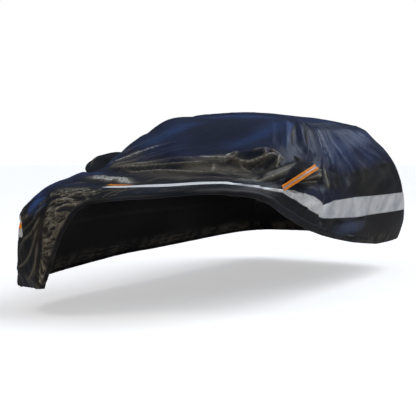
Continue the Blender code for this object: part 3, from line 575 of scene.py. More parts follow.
def wall_marks(around, row, level, crest):
    """Crest, painted reflection level and slackness of the wall's cloth, and the band's painted black shade
    along its lower edge and painted glint strip.
    """
    # Painted shade: away from the front, the wall is painted darker towards the hem.
    painted_low_shade = smooth((4.9 - level) / 1.2) * (1 - between(around, -1.0, 2.45, 0.2))
    share = (row - SKIRT_TOP) / (BAND_TOP - SKIRT_TOP)
    # Over the front stretch, the band's lower part is painted black as shade, and the rest of it is a painted
    # white glint.
    trim = smooth((0.34 - share) / 0.10) * between(around, -0.5, 1.12, 0.12)
    return {"crest": crest,
            "tone": np.clip(patches(PAINTED_REFLECTIONS, around, level, 1.0) - 0.8 * painted_low_shade, 0.0, 2.0),
            "slack": np.clip(patches(SLACKS, around, level, 0.15), 0.0, 1.0),
            "trim": trim,
            "glint": between(around, -0.3, 1.10, 0.12) * (1 - trim)}


def even_marks(crest, tone, slack):
    """Marks of cloth that is the same all over but for its crests."""
    even = {"tone": tone, "slack": slack, "trim": 0.0, "glint": 0.0}
    return {"crest": crest, **{mark: np.full(crest.size, value) for mark, value in even.items()}}


# ---- wall

HEM_REACH = 0.2


class Wall:
    """The wall as one fine grid of points, rows climbing from the hem and columns running to the left."""

    def __init__(self):
        self.columns, self.rows = steps_between(COLUMN_STEPS), steps_between(ROW_STEPS)
        self.around, self.row = np.meshgrid(self.columns, self.rows)
        moved = np.array([leant(self.columns, value) for value in self.rows])
        self.level = level_at(self.around, self.row)
        flat = shell_points(moved.ravel(), self.level.ravel())
        self.bare = flat.reshape(*moved.shape, 3)
        self.out = grid_normals(self.bare)
        self.up = travelled(self.bare, 0)
        self.along = travelled(self.bare, 1)
        self.along -= self.along[:, [np.searchsorted(self.columns, 0.0)]]
        self.hem = line_distance(self.bare, self.bare[0], HEM_REACH)
        ladder = np.concatenate([ring_points(ring, np.array([GATHER_SEAM])) for ring in RINGS])
        self.climb = np.interp(self.level, range(len(RINGS)), travelled(ladder, 0))
        fine, crest = (part.reshape(moved.shape) for part in crease_relief(flat))
        self.relief = fold_relief(flat).reshape(moved.shape) + fine
        self.marks = wall_marks(self.around, self.row, self.level, crest)
        for mark, change, half_width, *places in STROKES:
            near, shape = beside_path(flat, curve_path(places), half_width, 3.0, STROKE_FADE, 2)
            values = self.marks[mark].ravel()
            values[near] += change * shape
            self.marks[mark] = np.clip(values, 0.0, 2.0).reshape(moved.shape)

    def add(self, where, pattern, height, crest=0.0, power=1.0, middle=0.0):
        """Adds a pattern to the height of the cloth, less its middle value, and marks its crests."""
        self.relief = self.relief + height * where * (pattern - middle)
        self.marks["crest"] = np.maximum(self.marks["crest"], crest * where * pattern**power)

    def part(self, rows, columns):
        """Cloth coordinates and marks of a stretch, as flat arrays."""
        uv = np.stack([self.along[rows, columns].ravel(), self.up[rows, columns].ravel()], -1)
        return uv, {name: values[rows, columns].ravel() for name, values in self.marks.items()}

    def column(self, place):
        return int(np.argmin(np.abs(self.columns - place)))

    def line(self, row):
        return int(np.argmin(np.abs(self.rows - row)))


HEM_ROLL_WIDTH, HEM_ROLL_NARROW = 0.055, 0.022
CRUMPLE_DEPTH, CRUMPLE_MIDDLE = 0.012, 0.3


def gather_pattern(wall):
    """The crumples along the elastic: long ones high over the front, shorter and steeper ones lower down.

    Also gives how far each point belongs to the long ones.
    """
    x, y, z = np.moveaxis(wall.bare, -1, 0)
    high = smooth((z - 0.70) / 0.08)
    low = smooth((0.46 - z) / 0.10)
    climb = wall.climb - 0.22 * x
    u, v = x + 0.2 * z, z - 0.2 * x
    long_ones = np.maximum(0.9 * ridges(x / 0.15, climb / 0.036, 11, 2.2),
                           ridges(x / 0.13, climb / 0.026, 17, 2.6))
    short_ones = np.maximum(0.7 * ridges(u / 0.085, v / 0.036, 12, 2.2),
                            ridges(u / 0.075, v / 0.026, 18, 2.6))
    steep_ones = ridges((x + 0.30 * z) / 0.024, z / 0.055, 13, 2.3)
    mixed = long_ones * high + (short_ones * (1 - low) + steep_ones * low) * (1 - high)
    along_band = ridges((x - 0.6 * y) / 0.045, (y + 0.6 * x) / 0.110, 14, 2.0)
    narrow = smooth((wall.around + 0.16) / 0.12)
    return mixed * (1 - narrow) + along_band * narrow, high


def gather_skirt(wall):
    """The skirt's crumples along its elastic, and the thick roll of the hem."""
    around, level = wall.around, wall.level
    skirt = smooth((SKIRT_TOP - wall.row) / 0.3)
    width = HEM_ROLL_NARROW + (HEM_ROLL_WIDTH - HEM_ROLL_NARROW) * smooth((around + 0.10) / 0.4)
    inside = smooth((wall.hem - 0.5 * width) / 0.015)
    start = GATHER_SEAM + 0.10 * smooth((4.1 - level) / 0.8) - 0.07 * smooth((1.8 - level) / 1.6)
    front = smooth((around - start) / 0.03) * smooth((0.75 - around) / 0.03) * skirt * inside
    fading = 1.0 - 0.75 * smooth((around + 0.15) / 0.7)
    mixed, high = gather_pattern(wall)
    wall.add(front * fading, mixed, CRUMPLE_DEPTH, 1.5 + 0.4 * high, 1.6, middle=CRUMPLE_MIDDLE)
    roll = np.clip(wall.hem / width, 0.0, 1.0)
    on_skirt = wall.row <= SKIRT_TOP
    open_side = between(around, GATHER_SEAM, 2.6, 0.15) * on_skirt
    wall.add(open_side, np.sin(math.pi * roll) ** 0.8, 0.22 * width)
    rest = (1 - between(around, GATHER_SEAM, 2.6, 0.3)) * on_skirt * smooth((0.13 - wall.hem) / 0.10)
    wall.add(rest, ridges(wall.along / 0.055, wall.up / 0.20, 15), 0.008, 0.4)


def crumple_band(wall):
    """The reflective band's own crumples where it is drawn back, and its slow ripples behind."""
    on_band = between(wall.row, SKIRT_TOP, BAND_TOP, 0.25)
    drawn = on_band * between(wall.around, 1.25, 2.02, 0.12)
    crumple = ridges(wall.along / 0.13, wall.up / 0.035 + wall.along / 0.3, 21)
    wall.add(drawn, crumple, CRUMPLE_DEPTH, 0.6, middle=CRUMPLE_MIDDLE)
    straight = on_band * smooth((wall.around - 2.0) / 0.15)
    wall.add(straight, lattice_noise(wall.along / 0.13, wall.up / 0.5, 22), 0.007, 0.5)


# Long streaks that spread from a place: around, level, first and last around that they reach, angle between
# two streaks, seed.
FANS = (
    (-0.93, 5.30, -0.95, 1.15, 0.085, 37),
    (2.02, 8.95, 1.98, 3.02, 0.075, 38),
    (1.35, 8.95, 1.05, 1.98, 0.110, 39),
    (-2.05, 8.95, -3.02, -1.98, 0.080, 40),
    (4.00, 8.95, 3.02, 5.00, 0.120, 43),
)


def crumple_cloth(wall):
    """Fine crumples where the cloth is slack."""
    around, level, along, up = wall.around, wall.level, wall.along, wall.up
    upper = smooth((wall.row - BAND_TOP) / 0.5)
    low_front = between(level, 4.9, 6.75, 0.5) * between(around, -0.9, 1.45, 0.25) * upper
    wall.add(low_front, ridges(along / 0.30, up / 0.11, 31, 2.2), 0.0045, 0.35)
    foot = between(around, 0.05, 1.10, 0.12) * between(level, 5.75, 6.65, 0.15)
    wall.add(foot, ridges(along / 0.10, up / 0.07, 32), 0.006, 0.45)
    shoulder = between(around, -0.58, 0.02, 0.10) * between(level, 5.00, 5.50, 0.12)
    wall.add(shoulder, ridges((along - 0.4 * up) / 0.050, (up + 0.4 * along) / 0.16, 33), 0.008)
    corner = between(around, -0.95, GATHER_SEAM + 0.11, 0.10) * smooth((4.2 - level) / 0.8)
    streaks = ridges((along - 0.55 * up) / 0.038, (up + 0.55 * along) / 0.24, 34, 2.4)
    wall.add(corner, streaks, 0.005, 0.10, 2)
    for place, height, low, high, narrow, seed in FANS:
        column = wall.column(place)
        start = int(np.argmin(np.abs(level[:, column] - height))), column
        right, above = along - along[start], up - up[start]
        reach, turn = np.hypot(right, above), np.arctan2(right, above)
        fan = between(around, low, high, 0.35) * upper * smooth((reach - 0.12) / 0.3)
        wall.add(fan, ridges(turn / narrow, reach / 0.55, seed, 2.0), 0.0028, 0.14, 1.5)
    every = lattice_noise(along / 0.22, up / 0.30, 35) + 0.5 * lattice_noise(along / 0.09, up / 0.12, 36)
    wall.add(upper, every, 0.0016)


def pucker_seams(wall):
    """Short puckers beside the roof seam and the long seams."""
    near_roof = smooth((wall.row - ROOF_ROW + 1.1) / 1.1)
    wall.add(near_roof, lattice_noise(wall.along / 0.030, wall.up / 0.2, 41), 0.0022)
    upper = wall.row > BAND_TOP
    for seam in (-2.0, 2.0):
        across = np.abs(wall.around - seam)
        near = smooth((0.11 - across) / 0.11) * upper
        wall.add(near, lattice_noise(wall.around / 0.12, wall.up / 0.030, 42), 0.0022)
        wall.add(upper, np.exp(-((across / 0.020) ** 2)), 0.004)


# ---- meshes

LOOKS = {}
SEAM_REACH = 0.045


def grid_quads(grid):
    numbers = np.arange(grid[..., 0].size).reshape(grid.shape[:2])
    return np.stack([numbers[:-1, :-1], numbers[:-1, 1:], numbers[1:, 1:], numbers[1:, :-1]], -1)


def seam_distance(points, faces):
    """Distance of each point from the edges that only one face has, up to SEAM_REACH."""
    edges = np.concatenate([faces[:, [k, (k + 1) % 4]] for k in range(4)])
    edges.sort(axis=1)
    pairs, times = np.unique(edges, axis=0, return_counts=True)
    border = points[np.unique(pairs[times == 1])]
    tree = KDTree(len(border))
    for index, place in enumerate(border):
        tree.insert(place, index)
    tree.balance()
    return np.array([min(SEAM_REACH, tree.find(place)[2]) for place in points.tolist()])


def cloth_mesh(node, slot, points, faces, uv, marks):
    """The smooth sheet of one piece, with its cloth coordinates in metres. Points of no face are left out."""
    used, index = np.unique(faces, return_inverse=True)
    faces = index.reshape(-1, 4)
    points = points.reshape(-1, 3)[used] - CARRY_POINT
    mesh = bpy.data.meshes.new(node + "_cloth")
    mesh.from_pydata(points.tolist(), [], faces.tolist())
    mesh.shade_smooth()
    corners = np.zeros(len(mesh.loops), int)
    mesh.loops.foreach_get("vertex_index", corners)
    layer = mesh.uv_layers.new(name="cloth")
    layer.data.foreach_set("uv", uv[used][corners].astype(np.float32).ravel())
    marks = {mark: values[used] for mark, values in marks.items()}
    marks["seam"] = seam_distance(points, faces)
    for mark, values in marks.items():
        mesh.attributes.new(mark, "FLOAT", "POINT").data.foreach_set("value", values.astype(np.float32))
    mesh.materials.append(LOOKS[slot])
    piece = placed(node + "_cloth", mesh)
    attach(piece, ROOT)
    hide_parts(node)
    return piece


HEM_CURL_RADIUS = 0.008
HEM_CURL_TURN = 1.6 * math.pi
HEM_CURL_STEPS = 9


def hem_curl(block, out):
    """Rows of points that roll the lower edge of a block inwards, the innermost first."""
    edge = block[0]
    down = unit(np.cross(unit(np.gradient(edge, axis=0)), out))
    down *= np.where((down * (edge - block[1])).sum(-1, keepdims=True) < 0, -1.0, 1.0)
    turns = HEM_CURL_TURN * np.arange(HEM_CURL_STEPS, 0, -1) / HEM_CURL_STEPS
    middle = edge - out * HEM_CURL_RADIUS
    return np.array([middle + HEM_CURL_RADIUS * (out * math.cos(turn) + down * math.sin(turn))
                     for turn in turns])


def wall_part(wall, points, node, slot, around, rows, hem):
    """A stretch of the wall as a piece, between two places around and two rows."""
    a, b = wall.column(around[0]), wall.column(around[1]) + 1
    c, d = wall.line(rows[0]), wall.line(rows[1]) + 1
    block = points[c:d, a:b]
    uv, marks = wall.part(slice(c, d), slice(a, b))
    if hem:
        count, width = HEM_CURL_STEPS, b - a
        block = np.concatenate([hem_curl(block, wall.out[c, a:b]), block])
        below = np.repeat(np.arange(count, 0, -1), width) * HEM_CURL_RADIUS * HEM_CURL_TURN / count
        lowest = np.tile(uv[:width], (count, 1)) - np.stack([np.zeros(count * width), below], -1)
        uv = np.concatenate([lowest, uv])
        marks = {mark: np.concatenate([np.tile(values[:width], count), values])
                 for mark, values in marks.items()}
    return cloth_mesh(node, slot, block, grid_quads(block), uv, marks)


# Mirror pockets: first and last place around, first and last row above the band, and how far the pouch stands
# out, back and up.
POCKETS = {
    "mirror_pocket_left": (1.5, 1.75, 2, 9, (0.165, 0.030, -0.030)),
    "mirror_pocket_right": (-1.6875, -1.5, 6, 11, (-0.190, 0.015, 0.058)),
}
POCKET_FULLNESS = 0.38
POUCH_POINTS = 48
# Size of a pouch's cloth, its painted reflection level (0 keeps the black cloth's own colour) and its
# slackness.
POUCH_SIZE, POUCH_PAINTED_REFLECTION, POUCH_SLACK = (0.30, 0.25), 0.0, 0.5
# Creases over each pouch: share of its width and height where each starts and ends, bow, height, half width.
POUCH_CREASES = {
    "mirror_pocket_left": (
        (0.02, 0.52, 0.98, 0.93, 0.14, 0.013, 0.045),
        (0.02, 0.36, 0.92, 0.74, 0.12, 0.010, 0.040),
        (0.05, 0.22, 0.80, 0.54, 0.10, 0.012, 0.045),
        (0.10, 0.10, 0.60, 0.30, 0.06, 0.008, 0.040),
        (0.45, 0.16, 0.98, 0.40, -0.08, -0.010, 0.060),
    ),
    "mirror_pocket_right": (
        (0.05, 0.40, 0.95, 0.75, 0.10, 0.010, 0.060),
        (0.05, 0.20, 0.95, 0.40, -0.06, 0.008, 0.060),
    ),
}


def pocket_cells(wall, node):
    first, last, low, high, _ = POCKETS[node]
    return (slice(wall.line(BAND_TOP + low), wall.line(BAND_TOP + high)),
            slice(wall.column(first), wall.column(last)))


def front_panel(wall, points, node, slot):
    """The piece over the front, which wraps the front right corner and has a hole for each mirror pocket."""
    a, b = wall.column(-2.0), wall.column(2.0) + 1
    middle = (wall.columns[a:b - 1] + wall.columns[a + 1:b]) / 2
    row = ((wall.rows[:-1] + wall.rows[1:]) / 2)[:, None]
    keep = (row > BAND_TOP) & (middle > -2.0)
    keep |= (row > SKIRT_TOP) & (middle > CORNER_SEAM) & (middle < BAND_START)
    keep |= (middle > CORNER_SEAM) & (middle < GATHER_SEAM)
    for pocket in POCKETS:
        rows, columns = pocket_cells(wall, pocket)
        keep[rows, columns.start - a:columns.stop - a] = False
    block = points[:, a:b]
    return cloth_mesh(node, slot, block, grid_quads(block)[keep], *wall.part(slice(None), slice(a, b)))


def resample(block, up, along):
    """Points of a block at shares of its height and width."""
    v, u = up * (block.shape[0] - 1), along * (block.shape[1] - 1)
    i, j = np.minimum(v.astype(int), block.shape[0] - 2), np.minimum(u.astype(int), block.shape[1] - 2)
    a, b = (v - i)[:, None, None], (u - j)[None, :, None]
    low = block[np.ix_(i, j)] * (1 - b) + block[np.ix_(i, j + 1)] * b
    high = block[np.ix_(i + 1, j)] * (1 - b) + block[np.ix_(i + 1, j + 1)] * b
    return low * (1 - a) + high * a


def line_at(line, share):
    """Points of a line of points at shares of its steps."""
    return resample(line[:, None].repeat(2, axis=1), share, np.zeros(1))[:, 0]


def bulge(share):
    """How full a pouch is across its opening: 0 at both ends."""
    full = np.abs(np.sin(math.pi * share)) ** POCKET_FULLNESS
    full[[0, -1]] = 0.0
    return full


def pouch_relief(node, u, v):
    """Height and crests of a pouch's creases at shares of its width and height."""
    relief, crest = np.zeros_like(u), np.zeros_like(u)
    for along, up, last_along, last_up, bow, height, half_width in POUCH_CREASES[node]:
        run = np.clip((u - along) / (last_along - along), 0.0, 1.0)
        line = up + (last_up - up) * run + bow * np.sin(math.pi * run)
        shape = np.exp(-np.abs((v - line) / half_width) ** 1.3) * np.sin(math.pi * run) ** 0.5
        relief += height * shape
        if height > 0:
            crest = np.maximum(crest, 1.5 * shape**1.5)
    return relief + 0.003 * lattice_noise(u * 7, v * 5, 51), crest


def pouch(wall, points, node, slot):
    """A rounded pouch in one of the front panel's holes."""
    rows, columns = pocket_cells(wall, node)
    push = np.array(POCKETS[node][-1])
    block = points[rows.start:rows.stop + 1, columns.start:columns.stop + 1]
    up, along = ((1 - np.cos(math.pi * np.linspace(0.0, 1.0, max(size, POUCH_POINTS)))) / 2
                 for size in block.shape[:2])
    share = along if push[0] > 0 else 1 - along
    inside = bulge(up)[:, None] * bulge(share)
    full = resample(block, up, along) + inside[..., None] * push
    out = unit(np.cross(np.gradient(full, axis=1), np.gradient(full, axis=0)))
    u, v = np.meshgrid(share, up)
    relief, crest = pouch_relief(node, u, v)
    full = full + (relief * inside)[..., None] * out
    uv = np.stack([u.ravel(), v.ravel()], -1) * POUCH_SIZE
    marks = even_marks((crest * inside).ravel(), POUCH_PAINTED_REFLECTION, POUCH_SLACK)
    return cloth_mesh(node, slot, full, grid_quads(full), uv, marks)


# The roof cloth's painted reflection level, above 1 for a painted sky reflection, and its slackness.
ROOF_PAINTED_REFLECTION, ROOF_SLACK = 1.25, 0.15
BROW_ROWS, BROW_LIFT = 14, 0.012
WELD_DISTANCE, SHORTEST_EDGE = 0.0004, 0.0001


def roof_cloth(left_edge, tail_edge, right_line):
    """The roof's own cloth, between its two long edges and the edge of the tail."""
    share = np.linspace(0.0, 1.0, len(left_edge))
    across = np.linspace(1.0, -1.0, len(tail_edge))
    leg = line_at(right_line, share) - left_edge
    roof = left_edge[:, None] + leg[:, None] * ((1 - across) / 2)[:, None]
    rise = np.interp(share, *zip(*ROOF_CROWN)) - left_edge[:, 2]
    roof[..., 2] += rise[:, None] * (1 - across**2) ** CROWN_POWER
    inner = roof[:, 1:-1].reshape(-1, 3)
    waves = lattice_noise(inner[:, 0] / 0.30, inner[:, 1] / 0.45, 61)
    relief = fold_relief(inner) + crease_relief(inner)[0] + 0.002 * waves
    roof[:, 1:-1, 2] += relief.reshape(len(left_edge), -1)
    return roof + (tail_edge - roof[-1]) * share[:, None, None] ** 2


def brow_cloth(front_edge, roof_edge):
    """The narrow strip of cloth between the wall's front edge and the roof's."""
    at = np.interp(-front_edge[:, 0], -roof_edge[:, 0], np.linspace(0.0, 1.0, len(roof_edge)))
    back_edge = line_at(roof_edge, at)
    step = np.linspace(0.0, 1.0, BROW_ROWS)[:, None, None]
    brow = front_edge * (1 - step) + back_edge * step
    width = np.linalg.norm(back_edge - front_edge, axis=-1)
    brow[..., 2] += np.sin(math.pi * step[..., 0]) * BROW_LIFT * np.clip(width / 0.12, 0.0, 1.0)
    return brow


def roof_panel(wall, points, node, slot):
    """The roof and the tail, one piece of cloth."""
    top = points[-1]
    left, tail, right = (wall.column(place) for place in (2.0, 3.0, -2.0))
    roof = roof_cloth(top[left:tail + 1], top[tail:], top[:right + 1][::-1])
    brow = brow_cloth(top[right:left + 1][::-1], roof[0])
    parts = [(grid, grid[..., :2].reshape(-1, 2),
              even_marks(np.zeros(grid[..., 0].size), ROOF_PAINTED_REFLECTION, ROOF_SLACK))
             for grid in (roof[::-1], brow[::-1])]
    behind = slice(wall.line(BAND_TOP), None), slice(tail, None)
    parts.append((points[behind], *wall.part(*behind)))
    grids, uvs, marks = zip(*parts)
    starts = np.cumsum([0] + [grid[..., 0].size for grid in grids])
    faces = [grid_quads(grid).reshape(-1, 4) + start for grid, start in zip(grids, starts)]
    places = [grid.reshape(-1, 3) for grid in grids]
    marks = {mark: np.concatenate([part[mark] for part in marks]) for mark in marks[0]}
    piece = cloth_mesh(node, slot, *map(np.concatenate, (places, faces, uvs)), marks)
    welded = bmesh.new()
    welded.from_mesh(piece.data)
    bmesh.ops.remove_doubles(welded, verts=welded.verts, dist=WELD_DISTANCE)
    bmesh.ops.dissolve_degenerate(welded, edges=welded.edges, dist=SHORTEST_EDGE)
    welded.to_mesh(piece.data)
    welded.free()
    return piece


# ---- tapes

# Runs of tape: the cloth that carries it, its start and end, the direction it faces where that is not the
# carrier's own, and its ribbons from the lowest up: node, looks, width and lift.
TAPES = (
    (("mirror_pocket_left_cloth", "front_panel_cloth"), (0.873, 0.396, 0.892), (1.010, 0.745, 1.062),
     (0.43, -0.90, 0.04),
     (("mirror_tape_left", "orange_tape", 0.046, 0.0020),
      ("mirror_line_left", "silver_tape", 0.010, 0.0036))),
    (("mirror_pocket_right_cloth",), (-0.930, 0.400, 0.975), (-1.010, 0.690, 1.100), None,
     (("mirror_tape_right", "orange_tape", 0.042, 0.0020),
      ("mirror_line_right", "silver_tape", 0.010, 0.0036))),
    (("front_panel_cloth",), (-0.165, -0.352, 0.925), (0.095, -0.385, 0.9245), None,
     (("front_tape", "orange_tape", 0.060, 0.0022),)),
    (("band_right_cloth",), (-0.600, -0.768, 0.632), (-0.720, -0.660, 0.632), None,
     (("corner_tape", "orange_tape", 0.042, 0.0022),)),
)
TAPE_STEPS, TAPE_STEPS_ACROSS = 60, 8
TAPE_SEARCH, TAPE_SINK, TAPE_RISE = 0.12, 0.006, 0.030


def taut(heights):
    """Heights of a ribbon pulled tight: it touches the high places and spans the hollows."""
    tight = heights.copy()
    for first in range(len(heights) - 1):
        for last in range(first + 1, len(heights)):
            span = np.linspace(heights[first], heights[last], last - first + 1)
            tight[first:last + 1] = np.maximum(tight[first:last + 1], span)
    return tight


def settled(values, times):
    """Values along a line, smoothed over their neighbours."""
    for _ in range(times):
        values = np.concatenate([values[:1], (values[:-2] + 2 * values[1:-1] + values[2:]) / 4, values[-1:]])
    return values


def carrier_surface(names):
    places, faces = [], []
    for name in names:
        mesh = bpy.data.objects[name].data
        faces.extend([corner + len(places) for corner in face.vertices] for face in mesh.polygons)
        places.extend(vertex.co for vertex in mesh.vertices)
    return BVHTree.FromPolygons(places, faces)


def tape_line(surface, start, end, laid_along):
    """The middle line of a tape pulled tight over its carriers, and the direction that each place faces."""
    normal = Vector(laid_along or surface.find_nearest((start + end) / 2)[1])
    along = (end - start).normalized()
    depth = along.cross(normal.cross(along)).normalized()
    line, heights, facings = [], [], []
    for i in range(TAPE_STEPS + 1):
        place = start + (end - start) * (i / TAPE_STEPS)
        hit = surface.ray_cast(place + depth * TAPE_SEARCH, -depth, 2 * TAPE_SEARCH)
        if hit[0] is None:
            hit = surface.find_nearest(place)
        line.append(place)
        heights.append((hit[0] - place).dot(depth))
        facings.append(hit[1] if hit[1].dot(depth) > 0 else -hit[1])
    line = np.array(line) + taut(np.array(heights))[:, None] * np.array(depth)
    facings = unit(settled(np.array(facings), 40))
    if laid_along:
        facings[:] = depth
    return line, facings


def laid_ribbon(surface, line, facings, width, laid_along):
    """Places of a ribbon, its height over each, and which to keep: those over a carrier.

    A ribbon with a direction of its own keeps them all.
    """
    sideways = unit(np.cross(facings, np.gradient(line, axis=0)))
    offsets = (np.arange(TAPE_STEPS_ACROSS + 1) / TAPE_STEPS_ACROSS - 0.5) * width
    places = line[:, None] + offsets[:, None] * sideways[:, None]
    heights = np.zeros(places.shape[:2])
    kept = np.zeros(places.shape[:2], bool)
    for i, j in np.ndindex(*heights.shape):
        place, facing = Vector(places[i, j]), Vector(facings[i])
        hit = surface.ray_cast(place + facing * TAPE_SEARCH / 2, -facing, TAPE_SEARCH)[0]
        kept[i, j] = hit is not None or laid_along is not None
        if hit is not None:
            heights[i, j] = min(max((hit - place).dot(facing), -TAPE_SINK), TAPE_RISE)
    return places, np.maximum(heights, settled(heights, 12)), kept


def lay_tapes(carriers, start, end, laid_along, ribbons):
    """The ribbons of one run, on the outside of its carriers, straight as seen along one direction."""
    surface = carrier_surface(carriers)
    start, end = (Vector(place) - Vector(CARRY_POINT) for place in (start, end))
    line, facings = tape_line(surface, start, end, laid_along)
    for node, slot, width, lift in ribbons:
        places, heights, inside = laid_ribbon(surface, line, facings, width, laid_along)
        points = places + (heights + lift)[..., None] * facings[:, None] + CARRY_POINT
        uv = np.stack(np.meshgrid(np.linspace(0, (end - start).length, TAPE_STEPS + 1),
                                  np.linspace(0, width, TAPE_STEPS_ACROSS + 1), indexing="ij"), -1)
        faces = grid_quads(points)
        kept = inside.ravel()[faces].all(axis=-1)
        piece = cloth_mesh(node, slot, points, faces[kept], uv.reshape(-1, 2), {})
        length = travelled(points[:, TAPE_STEPS_ACROSS // 2], 0)[-1]


# ---- materials


class Nodes:
    """A short way to write a node tree. Colours are given as red, green and blue."""

    def __init__(self, owner, shader="Principled BSDF"):
        owner.use_nodes = True
        self.tree = owner.node_tree
        self.shader = self.tree.nodes[shader]

    def fill(self, node, inputs):
        for key, value in inputs.items():
            if isinstance(value, bpy.types.NodeSocket):
                self.tree.links.new(value, node.inputs[key])
            else:
                node.inputs[key].default_value = (*value, 1.0) if isinstance(value, tuple) else value

    def add(self, kind, inputs=None, **settings):
        node = self.tree.nodes.new(kind)
        for key, value in settings.items():
            setattr(node, key, value)
        self.fill(node, inputs or {})
        return node

    def math(self, operation, a, b, clamp=False):
        return self.add("ShaderNodeMath", {0: a, 1: b}, operation=operation, use_clamp=clamp).outputs[0]

    def times(self, a, b, clamp=False):
        return self.math("MULTIPLY", a, b, clamp)

    def mark(self, name):
        return self.add("ShaderNodeAttribute", attribute_name=name).outputs["Fac"]

    def mix(self, share, a, b):
        return self.add("ShaderNodeMix", {0: share, 6: a, 7: b}, data_type="RGBA").outputs[2]

    def step(self, value, low, high, start=0.0, end=1.0):
        inputs = {"Value": value, "From Min": low, "From Max": high, "To Min": start, "To Max": end}
        return self.add("ShaderNodeMapRange", inputs, clamp=True).outputs[0]

    def noise(self, scale, detail=3.0, rough=0.5, bend=0.0, vector=None, **settings):
        place = vector or self.add("ShaderNodeTexCoord").outputs["Object"]
        inputs = {"Vector": place, "Scale": scale, "Detail": detail, "Roughness": rough, "Distortion": bend}
        return self.add("ShaderNodeTexNoise", inputs, **settings).outputs["Fac"]

    def bump(self, strength, height, *others):
        for other in others:
            height = self.math("ADD", height, other)
        inputs = {"Strength": strength, "Distance": 1.0, "Height": height}
        return self.add("ShaderNodeBump", inputs).outputs[0]

    def cloth_place(self):
        return self.add("ShaderNodeUVMap", uv_map="cloth").outputs[0]


def grid_lines(nodes, pitch, width):
    """1 on a square grid of lines in the cloth's own coordinates, 0 between."""
    parts = nodes.add("ShaderNodeSeparateXYZ", {0: nodes.cloth_place()}).outputs
    turns = (nodes.math("PINGPONG", parts[axis], pitch / 2) for axis in (0, 1))
    return nodes.math("MAXIMUM", *(nodes.step(turn, 0.0, width, 1.0, 0.0) for turn in turns))


def stitches(nodes, seam, distance, pitch):
    """Dashes of thread along a line at a distance from the piece's edge."""
    parts = nodes.add("ShaderNodeSeparateXYZ", {0: nodes.cloth_place()}).outputs
    run = nodes.math("ADD", parts[0], parts[1])
    dash = nodes.step(nodes.math("PINGPONG", run, pitch), 0.30 * pitch, 0.42 * pitch)
    near = nodes.math("ABSOLUTE", nodes.math("SUBTRACT", seam, distance), 0.0)
    return nodes.times(dash, nodes.step(near, 0.0006, 0.0012, 1.0, 0.0))


# Each cloth's colours at painted reflection levels 0, 1 and 2: black (on the navy cloth a painted dark
# reflection), its own colour, and a light blue painted sky reflection; then the level and tint of its shine.
CLOTHS = {
    "navy_cloth": ((0.0080, 0.0075, 0.0066), (0.0170, 0.0200, 0.0430), (0.032, 0.068, 0.190),
                   0.155, (0.70, 0.82, 1.0)),
    "black_cloth": ((0.0070, 0.0065, 0.0058), (0.0080, 0.0078, 0.0080), (0.030, 0.042, 0.078),
                    0.15, (1.0, 0.97, 0.92)),
}
# Painted crest highlights: their colour on black and on navy cloth, and the pale painted glint of the
# strongest crests.
CREST_HIGHLIGHT_ON_BLACK = (0.200, 0.172, 0.122)
CREST_HIGHLIGHT_ON_NAVY = (0.036, 0.050, 0.098)
PAINTED_CREST_GLINT = (0.62, 0.60, 0.55)
# Colours of the stitches, of the painted shade along each piece's edge, and of the ripstop grid.
CLOTH_THREAD, CLOTH_EDGE_SHADE, CLOTH_GRID = (0.045, 0.048, 0.060), (0.003, 0.003, 0.004), (0.030, 0.036, 0.055)


